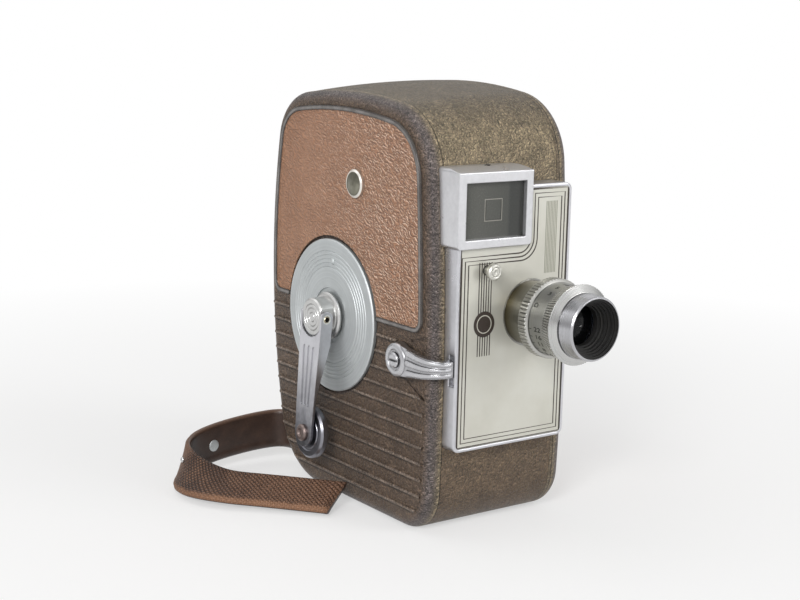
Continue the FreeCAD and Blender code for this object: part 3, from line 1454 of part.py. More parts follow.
def spring_barrel():
    """Barrel round the mainspring, with the first wheel's teeth cut on its flange."""
    radius = s.barrel_radius
    wall = s.barrel_wall
    length = s.barrel_left - s.barrel_right
    shaft = s.winding_arbor_radius + s.running_clearance
    end = s.arbor_end_radius + s.running_clearance
    drum = turned("barrel_drum", [
        (end, length - wall), (radius - wall, length - wall), (radius - wall, wall), (shaft, wall), (shaft, 0),
        (radius - 0.4, 0), (radius, 0.4), (radius, length), (end, length)][::-1],
        -s.barrel_left, s.disc_y, s.disc_z, TO_RIGHT)
    turn = tooth_angles((s.disc_y, s.disc_z), (SECOND_Y, SECOND_Z), value("main_teeth"), True)
    wheel = gear("main_wheel", value("main_module"), int(value("main_teeth")), turn, WHEEL_TIP,
                 -s.barrel_right, value("main_wheel_thickness"), value("arbor_end_radius") + 0.05,
                 s.disc_y, s.disc_z)
    return keep("spring_barrel", union("spring_barrel", [drum, wheel]))


def mainspring():
    """Flat spring wound from the arbor's core out to the wall of its barrel."""
    inner = value("arbor_core_radius") + 0.3
    outer = value("barrel_radius") - value("barrel_wall") - value("spring_strip") - 0.2
    turns = int(value("spring_turns"))
    step = (outer - inner) / (2 * turns)
    strip = value("spring_strip")
    width = value("barrel_left") - value("barrel_right") - 2 * value("barrel_wall") - 0.8
    edges = []
    near, far = [], []
    for number in range(2 * turns):
        side = 1 if number % 2 == 0 else -1
        start = inner + step * number
        end = start + step
        middle = (start + end) / 2
        shift = (start - end) / 2 * side
        for line, extra in ((near, 0), (far, strip)):
            reach = middle + extra
            line.append((Vector((start + extra) * side, 0, 0), Vector(shift, reach * side, 0),
                         Vector(-(end + extra) * side, 0, 0)))
    for line in (near, far):
        for start, through, end in line:
            edges.append(Part.Arc(start, through, end).toShape())
    edges.append(Part.makeLine(near[0][0], far[0][0]))
    edges.append(Part.makeLine(near[-1][2], far[-1][2]))
    strip_face = Part.Face(Part.Wire(Part.__sortEdges__(edges)))
    coil = strip_face.extrude(Vector(0, 0, width))
    left = -s.barrel_left + s.barrel_wall + 0.4
    return keep("mainspring", solid("mainspring", coil, left, s.disc_y, s.disc_z, ACROSS))


def ratchet_wheel():
    teeth = int(value("ratchet_teeth"))
    radius = value("ratchet_radius")
    points = []
    for number in range(teeth):
        angle = 2 * math.pi * number / teeth
        points.append(Vector(radius * math.cos(angle), radius * math.sin(angle), 0))
        points.append(Vector((radius - 1.1) * math.cos(angle), (radius - 1.1) * math.sin(angle), 0))
    wheel = Part.Face(Part.makePolygon(points + points[:1])).extrude(Vector(0, 0, value("ratchet_thickness")))
    bore = value("winding_arbor_radius") + 0.02
    wheel = wheel.cut(Part.makeCylinder(bore, 4, Vector(0, 0, -1)))
    return keep("ratchet_wheel", solid("ratchet_wheel", wheel, -s.ratchet_left, s.disc_y, s.disc_z, ACROSS))


def ratchet_pawl():
    """Click that stands on the bridge beside the ratchet wheel."""
    radius = s.ratchet_radius
    y = s.disc_y
    z = s.disc_z + radius
    left = -s.ratchet_left
    pawl = slab("ratchet_pawl", "YZ_Plane", left, BRIDGE_OUTER, polygon([
        (y - 0.6, z + 0.3), (y + 0.4, z + 0.4), (y + 7.0, z + 1.8), (y + 9.0, z + 3.6, 1.6), (y + 7.0, z + 5.2),
        (y + 4.0, z + 4.4)]))
    return keep("ratchet_pawl", pawl)


def arbor_rod(name, radius, left, right, y, z):
    return cylinder(name, radius, right - left, left, y, z, TO_RIGHT)


def second_arbor():
    """Arbor with its pinion and its wheel, pressed together as one."""
    pinion_turn = tooth_angles((SECOND_Y, SECOND_Z), (s.disc_y, s.disc_z), value("pinion_teeth"), False)
    pinion = gear("second_pinion", value("main_module"), int(value("pinion_teeth")), pinion_turn, PINION_TIP,
                  -s.barrel_right - 0.3, value("barrel_right") + 0.3 - value("second_wheel_left"), 0.5,
                  SECOND_Y, SECOND_Z)
    wheel_turn = tooth_angles((SECOND_Y, SECOND_Z), (s.third_y, s.third_z), value("second_teeth"), True)
    wheel = gear("second_wheel", value("wheel_module"), int(value("second_teeth")), wheel_turn, WHEEL_TIP,
                 -s.second_wheel_left, value("wheel_thickness"), 0.5, SECOND_Y, SECOND_Z)
    rod = arbor_rod("second_rod", s.arbor_radius, BRIDGE_OUTER + 0.1, PARTITION_RIGHT - 0.1, SECOND_Y, SECOND_Z)
    return keep("second_arbor", union("second_arbor", [rod, pinion, wheel]))


def bevel_wire(teeth, turn, pitch_angle, height, big):
    """Outline of a bevel wheel at its big or small end, square to its axis."""
    module = value("bevel_module")
    cone = math.hypot(value("bevel_teeth"), value("pinion_teeth")) * module / 2
    scale = 1.0 if big else 1.0 - value("bevel_face") / cone
    return gear_wire(module, teeth, turn, BEVEL_TIP * math.cos(pitch_angle), height * scale, scale)


def bevel(teeth, partner, turn):
    """Bevel wheel with its apex at the origin and its body along +Z."""
    module = value("bevel_module")
    pitch_angle = math.atan2(teeth, partner)
    height = module * partner / 2
    wires = [bevel_wire(teeth, turn, pitch_angle, height, big) for big in (False, True)]
    return Part.makeLoft(wires, True, True)


def third_arbor():
    """Arbor with its pinion and the wheel that drives the governor."""
    pinion_turn = tooth_angles((s.third_y, s.third_z), (SECOND_Y, SECOND_Z), value("pinion_teeth"), False)
    pinion = gear("third_pinion", value("wheel_module"), int(value("pinion_teeth")), pinion_turn, PINION_TIP,
                  -s.second_wheel_left - 0.1, value("wheel_thickness") + 0.5, 0.5, s.third_y, s.third_z)
    wheel_turn = tooth_angles((s.third_y, s.third_z), (s.third_y, GOVERNOR_Z), value("governor_drive_teeth"), True)
    wheel = gear("governor_drive", value("wheel_module"), int(value("governor_drive_teeth")), wheel_turn,
                 WHEEL_TIP, -s.governor_drive_left, value("wheel_thickness"), 0.5, s.third_y, s.third_z)
    rod = arbor_rod("third_rod", s.arbor_radius, BRIDGE_OUTER + 0.1, PARTITION_RIGHT - 0.1, s.third_y, s.third_z)
    return keep("third_arbor", union("third_arbor", [rod, pinion, wheel]))


LEFTWARDS = Rotation(Vector(0, -1, 0), Vector(0, 0, 1), Vector(-1, 0, 0), "ZXY")
FORWARDS = Rotation(Vector(1, 0, 0), Vector(0, 0, 1), Vector(0, -1, 0), "ZXY")


def bevel_wheel():
    teeth = int(value("bevel_teeth"))
    wheel = bevel(teeth, int(value("pinion_teeth")), 0.0)
    module = value("bevel_module")
    end = module * value("pinion_teeth") / 2
    hub = Part.makeCylinder(2.4, 1.6, Vector(0, 0, end - 0.1))
    wheel = wheel.fuse(hub).cut(Part.makeCylinder(value("arbor_radius") + 0.02, 20, Vector(0, 0, -5)))
    return keep("bevel_wheel", solid("bevel_wheel", wheel, s.shutter_x, s.third_y, s.third_z, LEFTWARDS))


def governor_rotor():
    """Fast spindle with a friction disc and the collar that its weights push."""
    turn = tooth_angles((s.third_y, GOVERNOR_Z), (s.third_y, s.third_z), value("governor_teeth"), False)
    pinion = gear("governor_pinion", value("wheel_module"), int(value("governor_teeth")), turn, PINION_TIP,
                  -s.governor_drive_left - 0.2, value("wheel_thickness") + 0.4, 0.5, s.third_y, GOVERNOR_Z)
    end = PARTITION_RIGHT - BRIDGE_OUTER - 0.2
    rotor = turned("governor_form", [
        (0, 0), (s.arbor_radius, 0), (s.arbor_radius, 1.6), (s.governor_disc_radius, 1.6),
        (s.governor_disc_radius, 2.4), (2.0, 2.4), (2.0, 4.0), (s.arbor_radius, 4.0), (s.arbor_radius, 10.5),
        (2.6, 10.5), (2.6, 12.5), (s.arbor_radius, 12.5), (s.arbor_radius, end), (0, end)],
        BRIDGE_OUTER + 0.1, s.third_y, GOVERNOR_Z, TO_RIGHT)
    return keep("governor_rotor", union("governor_rotor", [rotor, pinion]))


# Shutter and claw

def shutter_shaft():
    """Shaft from the bevel pinion forwards to the shutter, with the claw's crank pin."""
    teeth = int(value("pinion_teeth"))
    wheel_turn = math.pi / teeth
    pinion = bevel(teeth, int(value("bevel_teeth")), wheel_turn)
    module = value("bevel_module")
    back = module * value("bevel_teeth") / 2
    front = value("third_y") - value("shutter_y")
    radius = value("arbor_radius")
    rod = Part.makeCylinder(radius, front - back + 1.0, Vector(0, 0, back - 0.5))
    claw = value("third_y") - value("claw_y")
    web = Part.makeCylinder(value("claw_pin_throw") + 1.2, 0.5, Vector(0, 0, front - 0.75))
    pin = Part.makeCylinder(value("claw_pin_radius"), front - claw, Vector(value("claw_pin_throw"), 0, claw - 0.35))
    shaft = pinion.fuse([rod, web, pin])
    return keep("shutter_shaft", solid("shutter_shaft", shaft, s.shutter_x, s.third_y, s.third_z, FORWARDS))


def shutter_disc():
    """Thin disc with a sector cut away where the light passes."""
    radius = value("shutter_radius")
    thick = value("shutter_sheet")
    open_angle = 360 - value("shutter_blade")
    disc_shape = Part.makeCylinder(radius, thick)
    wedge = Part.makeCylinder(radius + 1, thick + 2, Vector(0, 0, -1), Vector(0, 0, 1), open_angle)
    hub = Part.makeCylinder(4.2, thick + 2, Vector(0, 0, -1))
    wedge.rotate(Vector(0, 0, 0), Vector(0, 0, 1), -open_angle / 2)
    blade = disc_shape.cut(wedge.cut(hub))
    blade = blade.cut(Part.makeCylinder(value("arbor_radius") + 0.02, 4, Vector(0, 0, -1)))
    return keep("shutter_disc", solid("shutter_disc", blade, s.shutter_x, s.shutter_y + s.shutter_sheet / 2,
                                      s.third_z, FORWARDS))


def shutter_bracket():
    """Bracket across the front of the mechanism that carries the shutter shaft."""
    z = s.third_z
    back = s.claw_y + 1.9
    front = s.claw_y + 0.9
    plate = slab("shutter_bracket", "XZ_Plane", front, back, polygon(
        box(s.wheel_thickness + 0.5 - s.governor_drive_left, PARTITION_LEFT, z - 5, z + 4)))
    add_slab(plate, "bracket_foot", "XZ_Plane", front, back + 6, polygon(
        box(PARTITION_LEFT - 1.2, PARTITION_LEFT, z - 9, z - 5)))
    add_slab(plate, "bracket_link", "XZ_Plane", front, back, polygon(
        box(s.shutter_x - 3, PARTITION_LEFT, z - 9, z - 5)))
    add_cut(plate, "bracket_bearing", "XZ_Plane", front - 1, back + 1,
            disc(s.shutter_x, z, s.arbor_radius + s.running_clearance))
    return keep("shutter_bracket", plate)


def film_claw():
    """Sliding plate that the crank pin works, with a tip that reaches the perforations."""
    half = s.claw_sheet / 2
    y = s.claw_y
    z = s.third_z
    x = s.shutter_x
    reach = s.claw_pin_throw + s.claw_pin_radius
    tall = reach + s.claw_stroke / 2 + 0.2
    wide = reach + 0.2
    plate = slab("film_claw", "XZ_Plane", y - half, y + half, polygon(
        box(x - wide - 1.4, x + wide + 1.4, z - tall - 1.4, z + tall + 1.4)))
    add_slab(plate, "claw_arm", "XZ_Plane", y - half, y + half, polygon(
        box(x + wide + 1.0, 1.5, z - 5.6, z - 3.8)))
    add_slab(plate, "claw_tip", "XZ_Plane", y - half, s.film_plane + 0.6, polygon(
        box(0.75, 1.45, z - 5.2, z - 4.3)))
    add_cut(plate, "claw_window", "XZ_Plane", y - 1, y + 1, polygon(
        box(x - wide, x + wide, z - tall, z + tall)))
    return keep("film_claw", plate)


# Film way

def aperture_plate():
    """Gate plate in front of the film, with the picture opening, the claw's slot and two pins."""
    plane = s.film_plane
    z = s.third_z
    plate = slab("aperture_plate", "XZ_Plane", plane - s.gate_thickness, plane, polygon(
        rounded_box(PARTITION_RIGHT, 17.3, z - s.gate_half_height, z + s.gate_half_height, 1.5)))
    add_cut(plate, "picture_opening", "XZ_Plane", plane - 3, plane + 1, polygon(
        box(s.lens_x - s.frame_width / 2, s.lens_x + s.frame_width / 2,
            s.lens_z - s.frame_height / 2, s.lens_z + s.frame_height / 2)))
    add_cut(plate, "claw_slot", "XZ_Plane", plane - 3, plane + 1, polygon(
        box(0.5, 1.7, z - 7.6, z - 1.9)))
    for name, side in (("upper", 1), ("lower", -1)):
        add_slab(plate, f"{name}_pin", "XZ_Plane", plane - 0.5, plane + 5,
                 disc(GATE_PIN_X, z + side * GATE_PIN_RISE, s.gate_pin_radius))
    return keep("aperture_plate", plate)


GATE_PIN_X = sized(8.1)
GATE_PIN_RISE = sized(11.5)


def pressure_plate():
    plane = s.film_plane + s.film_gap
    z = s.third_z
    left = 0.1
    plate = slab("pressure_plate", "XZ_Plane", plane, plane + s.pressure_thickness, polygon(
        rounded_box(left, s.film_width + 0.1, z - s.pressure_half_height, z + s.pressure_half_height, 1.5)))
    for name, side in (("upper", 1), ("lower", -1)):
        add_cut(plate, f"{name}_pin_hole", "XZ_Plane", plane - 1, plane + 2,
                disc(GATE_PIN_X, z + side * GATE_PIN_RISE, s.gate_pin_radius + 0.08))
    add_cut(plate, "tip_room", "XZ_Plane", plane - 1, plane + 0.6, polygon(
        box(0.3, 1.9, z - 7.8, z - 1.7)))
    return keep("pressure_plate", plate)


def guide_rollers():
    rollers = []
    for number, side in enumerate((1, -1)):
        z = s.third_z + side * s.roller_spread
        rollers.append(turned(f"guide_roller_{number + 1}", [
            (0, 0), (s.roller_radius + 0.8, 0), (s.roller_radius + 0.8, 1.4), (s.roller_radius, 1.8),
            (s.roller_radius, 16.6), (s.roller_radius + 0.8, 17.0), (s.roller_radius + 0.8, 17.9), (0, 17.9)],
            PARTITION_RIGHT, s.roller_y, z, TO_RIGHT))
    return keep("guide_rollers", group("guide_rollers", rollers))


def spindle(name, z):
    shaft = s.spindle_shaft
    radius = s.spindle_radius
    left = PARTITION_LEFT
    body = turned(name, [
        (0, -0.65), (shaft + 1.2, -0.65), (shaft + 1.2, -0.1), (shaft, -0.1), (shaft, 1.6), (radius + 1.3, 1.6),
        (radius + 1.3, 2.2), (radius, 2.2), (radius, 16.0), (radius - 1.6, 20.0), (0, 20.4)],
        left, s.spindle_y, z, TO_RIGHT)
    keys = []
    for number in range(3):
        fin = doc.addObject("Part::Box", f"{name}_key_{number + 1}")
        bind(fin, "Length", 10.0)
        bind(fin, "Width", 1.2)
        bind(fin, "Height", radius + 0.9)
        turn = Rotation(Vector(1, 0, 0), 120 * number)
        offset = turn.multVec(Vector(0, -0.6, 0))
        place(fin, left + 3.4, s.spindle_y + offset.y, z + offset.z, turn)
        keys.append(fin)
    return keep(name, union(name, [body] + keys))


def take_up_spool():
    """Metal spool with three windows in each flange."""
    sheet_metal = s.spool_sheet
    width = s.spool_width
    core = s.spool_core
    bore = s.spindle_radius + 1.1
    spool = turned("spool_form", [
        (bore, 0), (s.spool_radius, 0), (s.spool_radius, sheet_metal), (core, sheet_metal),
        (core, width - sheet_metal), (s.spool_radius, width - sheet_metal), (s.spool_radius, width),
        (bore, width)], s.spool_left, s.spindle_y, s.take_up_z, TO_RIGHT)
    windows = []
    for number in range(3):
        angle = math.radians(90 + 120 * number)
        y = s.spindle_y + 18.2 * math.cos(angle)
        z = s.take_up_z + 18.2 * math.sin(angle)
        windows.append(cylinder(f"spool_window_{number + 1}", 4.6, width + 2, s.spool_left - 1, y, z, TO_RIGHT))
    return keep("take_up_spool", difference("take_up_spool_cut", spool, windows))


# Film door, base and strap fittings

def film_door():
    inside = s.right_seam + s.seam_gap
    door = slab("film_door", "YZ_Plane", inside, s.half_width, outline(0, s.body_height))
    fillet_edges(door, "door_shoulder", lies_at("X", s.half_width), s.shoulder)
    lip = s.band_wall + s.door_lip_gap
    add_slab(door, "door_lip_ring", "YZ_Plane", inside - s.door_lip, inside + 1,
             outline(lip, s.body_height))
    add_cut(door, "door_hollow", "YZ_Plane", inside - s.door_lip - 1, s.half_width - s.cover_wall,
            outline(lip + s.door_lip_wall, s.body_height))
    add_cut(door, "door_panel_seat", "YZ_Plane", s.half_width - s.leather_recess, s.half_width + 1,
            outline(s.leather_inset - 0.05, s.body_height))
    add_cut(door, "lock_hole", "YZ_Plane", inside, s.half_width + 1,
            disc(s.lock_y, s.lock_z, s.lock_shaft + s.running_clearance))
    return keep("film_door", door)


def door_panel():
    back = s.half_width - s.leather_recess
    panel = slab("door_panel", "YZ_Plane", back, s.half_width + s.leather_proud,
                 outline(s.leather_inset, s.body_height))
    add_cut(panel, "panel_lock_hole", "YZ_Plane", back - 1, s.half_width + 1,
            disc(s.lock_y, s.lock_z, s.lock_radius + 0.4))
    return keep("door_panel", panel)


def door_lock():
    """Turning key on the door: a ringed disc with a finger bar, and a shaft through the wall."""
    radius = s.lock_radius
    proud = s.lock_proud
    inner = -(s.cover_wall + 0.1)
    shaft = s.lock_shaft
    form = turned("lock_form", [
        (0, inner - 1.2), (shaft, inner - 1.2), (shaft, -0.1 - 0.35), (radius, -0.45), (radius, proud - 0.4),
        (radius - 0.4, proud), (7.9, proud), (7.7, proud - 0.25), (7.4, proud - 0.25), (7.2, proud), (0, proud)],
        s.half_width, s.lock_y, s.lock_z, TO_RIGHT)
    low = s.half_width + proud - 0.2
    bar = slab("lock_bar", "YZ_Plane", low, s.half_width + proud + 2.6, polygon(
        rounded_box(s.lock_y - s.lock_bar, s.lock_y + s.lock_bar, s.lock_z - 1.5, s.lock_z + 1.5, 1.45)))
    catch = slab("lock_catch", "YZ_Plane", s.half_width - s.cover_wall - 1.3, s.half_width - s.cover_wall - 0.1,
                 polygon(rounded_box(s.lock_y - 3, s.lock_y + 3, s.lock_z - 3, s.lock_z + 11, 2.0)))
    return keep("door_lock", union("door_lock", [form, bar, catch]))


def tripod_bush():
    radius = s.bush_radius
    flange = s.bush_flange
    bush = turned("tripod_bush", [
        (s.socket_thread_radius, 0), (radius, 0), (radius, s.band_wall), (flange, s.band_wall),
        (flange, s.band_wall + 1.2), (radius, s.band_wall + 1.6), (radius - 0.4, s.bush_height),
        (0, s.bush_height), (0, s.socket_depth + 0.6), (s.socket_thread_radius, s.socket_depth)],
        0, 0, 0, UPWARDS)
    return keep("tripod_bush", bush)


# Wrist strap: a flat band standing on edge, from a clip inside the housing round to its free end

RIVETS_ALONG = (3.5, 9.5)
STRAP_ROUTE = [(-46.0, 45.6), (-57.6, 36.5), (-59.4, 21.5), (-50.2, 5.5), (-37.2, -11.6)]


def strap_points():
    x = -value("strap_x")
    return [(x, value("strap_root")), (x, 45.6)] + STRAP_ROUTE


def rounded_route(points, first_share=0.28, share=0.45):
    """Straight runs joined by tangent arcs, as (start, end, centre, radius, side) steps."""
    corners = []
    for before, here, after in zip(points, points[1:], points[2:]):
        back = (before[0] - here[0], before[1] - here[1])
        ahead = (after[0] - here[0], after[1] - here[1])
        lengths = math.hypot(*back), math.hypot(*ahead)
        cut = (share if corners else first_share) * min(lengths)
        one = (back[0] / lengths[0], back[1] / lengths[0])
        two = (ahead[0] / lengths[1], ahead[1] / lengths[1])
        turn = math.pi - math.acos(one[0] * two[0] + one[1] * two[1])
        radius = cut / math.tan(turn / 2)
        middle = (one[0] + two[0], one[1] + two[1])
        size = math.hypot(*middle)
        reach = math.hypot(radius, cut)
        centre = (here[0] + middle[0] / size * reach, here[1] + middle[1] / size * reach)
        side = 1 if one[0] * two[1] - one[1] * two[0] < 0 else -1
        start = (here[0] + one[0] * cut, here[1] + one[1] * cut)
        end = (here[0] + two[0] * cut, here[1] + two[1] * cut)
        corners.append((start, end, centre, radius, side))
    return corners


def strap_side(points, corners, offset):
    """One long edge of the strap seen from above: lines and arcs at a distance to the left."""
    edges = []
    heading = math.atan2(points[1][1] - points[0][1], points[1][0] - points[0][0])
    here = Vector(points[0][0] - math.sin(heading) * offset, points[0][1] + math.cos(heading) * offset, 0)
    for start, end, centre, radius, side in corners:
        ends = []
        scale = (radius - side * offset) / radius
        for point in (start, end):
            ends.append(Vector(centre[0] + (point[0] - centre[0]) * scale,
                               centre[1] + (point[1] - centre[1]) * scale, 0))
        middle = ends[0] + ends[1] - Vector(centre[0] * 2, centre[1] * 2, 0)
        middle.normalize()
        through = Vector(centre[0], centre[1], 0) + middle * (radius - side * offset)
        edges.append(Part.makeLine(here, ends[0]))
        edges.append(Part.Arc(ends[0], through, ends[1]).toShape())
        here = ends[1]
    last = points[-1]
    heading = math.atan2(last[1] - points[-2][1], last[0] - points[-2][0])
    end = Vector(last[0] - math.sin(heading) * offset, last[1] + math.cos(heading) * offset, 0)
    edges.append(Part.makeLine(here, end))
    return edges, end


def strap():
    """Flat band, low on the ground at its free end and rising to the opening in the housing."""
    half = value("strap_thickness") / 2
    points = strap_points()
    corners = rounded_route(points)
    print("strap bends, radius in mm:", [round(corner[3], 1) for corner in corners])
    left, left_end = strap_side(points, corners, half)
    right, right_end = strap_side(points, corners, -half)
    start = Part.makeLine(left[0].Vertexes[0].Point, right[0].Vertexes[0].Point)
    cap = Part.makeLine(left_end, right_end)
    plan = Part.Face(Part.Wire(Part.__sortEdges__(left + right + [start, cap])))
    width = value("strap_width")
    low = value("strap_low") + 0.1
    ground = value("strap_ground")
    band = plan.extrude(Vector(0, 0, 40))
    x_exit = -value("strap_x") - 4
    x_down = -50.0
    rising = Part.makePolygon([Vector(0, 20, low), Vector(x_exit, 20, low), Vector(x_down, 20, ground),
                               Vector(-90, 20, ground), Vector(-90, 20, ground + width),
                               Vector(x_down, 20, ground + width), Vector(x_exit, 20, low + width),
                               Vector(0, 20, low + width), Vector(0, 20, low)])
    rear = Part.Face(rising).extrude(Vector(0, 60, 0))
    inside = Part.makeBox(30, 40, width, Vector(-30, value("strap_root") - 10, low))
    lead = value("strap_end_slant")
    end = points[-1]
    slant = Part.makePolygon([Vector(-90, end[1], ground), Vector(-90, end[1] - lead, ground + width),
                              Vector(-90, 20, ground + width), Vector(-90, 20, ground),
                              Vector(-90, end[1], ground)])
    front = Part.Face(slant).extrude(Vector(60, 0, 0))
    shape = band.common(rear).fuse(band.common(front)).fuse(band.common(inside)).removeSplitter()
    print("strap length in mm:", round(shape.Volume / (2 * half * width), 1))
    for along in RIVETS_ALONG:
        start = Vector(x_exit, value("strap_root") + along, float(RIVET_Z))
        shape = shape.cut(Part.makeCylinder(value("strap_rivet_radius") + 0.02, 8, start, Vector(1, 0, 0)))
    return keep("strap", solid("strap", shape, 0, 0, 0, UPWARDS))


def strap_bracket():
    """Folded clip on the floor of the housing that the strap is riveted to."""
    right = -s.strap_x + s.strap_thickness / 2
    sheet_metal = s.clip_sheet
    low = s.band_wall
    clip = slab("strap_bracket", "YZ_Plane", right, right + sheet_metal, polygon([
        (s.strap_root, low), (s.strap_root + 8, low), (s.strap_root + 14, s.strap_low + 1.0),
        (s.strap_root + 14, s.strap_high - 2), (s.strap_root + 12, s.strap_high), (s.strap_root, s.strap_high)]))
    add_slab(clip, "clip_foot", "XY_Plane", low, low + sheet_metal, polygon(
        box(right, right + 7, s.strap_root, s.strap_root + 8)))
    for number, along in enumerate(RIVETS_ALONG):
        add_cut(clip, f"rivet_hole_{number + 1}", "YZ_Plane", right - 1, right + sheet_metal + 1,
                disc(s.strap_root + along, RIVET_Z, s.strap_rivet_radius + 0.02))
    return keep("strap_bracket", clip)


def strap_rivets():
    """Rivets through the strap and its clip, with a washer head on each side."""
    radius = s.strap_rivet_radius
    left = -s.strap_x - s.strap_thickness / 2
    span = s.strap_thickness + s.clip_sheet
    rivets = []
    for number, along in enumerate(RIVETS_ALONG):
        rivets.append(turned(f"strap_rivet_{number + 1}", [
            (0, -0.5), (radius + 0.7, -0.5), (radius + 0.9, 0), (radius, 0), (radius, span), (radius + 0.9, span),
            (radius + 0.7, span + 0.5), (0, span + 0.5)], left, s.strap_root + along, RIVET_Z, TO_RIGHT))
    return keep("strap_rivets", group("strap_rivets", rivets))


# The whole camera

def build():
    form = housing_form()
    for make in (
        housing_band, base_plate, side_cover, leather_panel, panel_bead, cover_stud, winding_disc, face_plate, finder_tube,
        finder_eyepiece, eyepiece_lens, front_button, lens_socket, lens_barrel, aperture_ring, focus_ring,
        front_hood, front_element, rear_element, iris_leaves, crank_hub, winding_arbor, crank_pin, crank_arm,
        crank_knob, knob_rivet, release_lever, lever_screw, mechanism_plate, mechanism_bridge,
        bridge_pillars, bridge_screws, spring_barrel, mainspring, ratchet_wheel, ratchet_pawl,
        second_arbor, third_arbor, bevel_wheel, governor_rotor,
        shutter_shaft, shutter_disc, shutter_bracket, film_claw, aperture_plate, pressure_plate, guide_rollers,
        take_up_spool, film_door, door_panel, door_lock, tripod_bush, strap, strap_bracket, strap_rivets,
    ):
        make()
    front_tray(form)
    finder_housing(form)
    finder_window()
    spindle("feed_spindle", s.feed_z)
    spindle("take_up_spindle", s.take_up_z)


def write_parts():
    """Check every object and every node, then write the nodes."""
    doc.recompute()
    failed = [thing.Label for thing in doc.Objects if "Invalid" in thing.State or "Error" in thing.State]
    if failed:
        raise RuntimeError(f"not built: {failed}")
    for name, thing in nodes.items():
        if thing.Shape.isNull() or not thing.Shape.isValid() or not thing.Shape.Solids:
            raise RuntimeError(f"no sound solid: {name}")
    os.makedirs("parts", exist_ok=True)
    for name, thing in nodes.items():
        thing.Shape.exportStep(f"parts/{name}.step")
    print(len(nodes), "nodes written")


build()
write_parts()
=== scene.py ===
"""Looks of a spring-wound 8 mm movie camera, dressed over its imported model."""

import math

import bmesh
import bpy
from mathutils import Matrix, Vector


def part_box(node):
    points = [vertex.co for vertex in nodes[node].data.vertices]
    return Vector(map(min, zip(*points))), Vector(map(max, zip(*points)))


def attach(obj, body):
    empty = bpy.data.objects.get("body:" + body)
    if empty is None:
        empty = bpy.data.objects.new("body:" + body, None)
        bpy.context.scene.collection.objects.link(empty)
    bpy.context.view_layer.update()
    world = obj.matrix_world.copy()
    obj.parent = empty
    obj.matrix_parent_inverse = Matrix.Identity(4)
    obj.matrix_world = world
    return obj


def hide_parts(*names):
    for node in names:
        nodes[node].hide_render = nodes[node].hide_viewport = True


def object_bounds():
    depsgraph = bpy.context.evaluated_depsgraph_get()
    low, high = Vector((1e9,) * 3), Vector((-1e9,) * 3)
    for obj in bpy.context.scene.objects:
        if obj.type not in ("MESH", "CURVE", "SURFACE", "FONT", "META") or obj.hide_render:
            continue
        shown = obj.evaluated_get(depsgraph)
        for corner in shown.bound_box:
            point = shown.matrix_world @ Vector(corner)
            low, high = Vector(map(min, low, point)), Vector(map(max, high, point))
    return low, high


MM = 0.001
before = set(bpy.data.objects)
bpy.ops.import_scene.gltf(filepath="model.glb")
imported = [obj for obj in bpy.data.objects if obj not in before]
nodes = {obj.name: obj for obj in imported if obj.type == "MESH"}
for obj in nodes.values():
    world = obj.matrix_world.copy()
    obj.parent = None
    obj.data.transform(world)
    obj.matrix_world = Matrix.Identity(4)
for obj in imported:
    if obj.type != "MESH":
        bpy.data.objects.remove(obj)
cad_low, cad_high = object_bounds()


def middle(name):
    """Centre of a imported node's box."""
    low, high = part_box(name)
    return (low + high) / 2


# Places on the camera that several materials and pieces share, in metres
PLATE_LOW, PLATE_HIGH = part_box("face_plate")
PLATE_FRONT = PLATE_LOW.y
FINDER_LOW, FINDER_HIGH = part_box("finder_housing")
LENS = middle("front_hood")
DISC = middle("winding_disc")
DISC_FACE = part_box("winding_disc")[0].x
STUD = middle("cover_stud")
BUTTON = Vector((-10.8, 0, 77.6)) * MM
CRANK_PIN = Vector((-31.0 * MM, 0, DISC.z))

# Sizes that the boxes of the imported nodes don't give, in metres. The last five are radii
HALF_WIDTH = 25.4 * MM
SHOULDER = 4.6 * MM
RIB_TOP = 55.1 * MM
RIB_PITCH = 4.82 * MM
RIB_FRONT = -36.0 * MM
RIB_RISE = 0.45 * MM
STUD_FACE = 3.5 * MM
PIN_HOLE = 0.75 * MM
PIN_COLLAR = 1.45 * MM
BARREL_BORE = 7.5 * MM
HOOD_BORE = 8.4 * MM


# Camera

def photo_camera():
    """Stands where the photograph was taken from."""
    azimuth, elevation, roll = math.radians(-35.74), math.radians(10.86), math.radians(1.21)
    place = (-0.27144, -0.37046, 0.1479)
    focal_length, film_width = 67.84, 36
    level = math.cos(elevation)
    back = Vector((math.sin(azimuth) * level, -math.cos(azimuth) * level, math.sin(elevation)))
    right = Vector((math.cos(azimuth), math.sin(azimuth), 0))
    up = back.cross(right)
    right, up = right * math.cos(roll) + up * math.sin(roll), up * math.cos(roll) - right * math.sin(roll)
    data = bpy.data.cameras.new("photo_camera")
    data.lens = focal_length
    data.sensor_width = film_width
    data.clip_start = 0.01
    data.clip_end = 20
    camera = bpy.data.objects.new("photo_camera", data)
    camera.matrix_world = Matrix.Translation(place) @ Matrix((right, up, back)).transposed().to_4x4()
    bpy.context.scene.collection.objects.link(camera)
    bpy.context.scene.camera = camera


# Material building

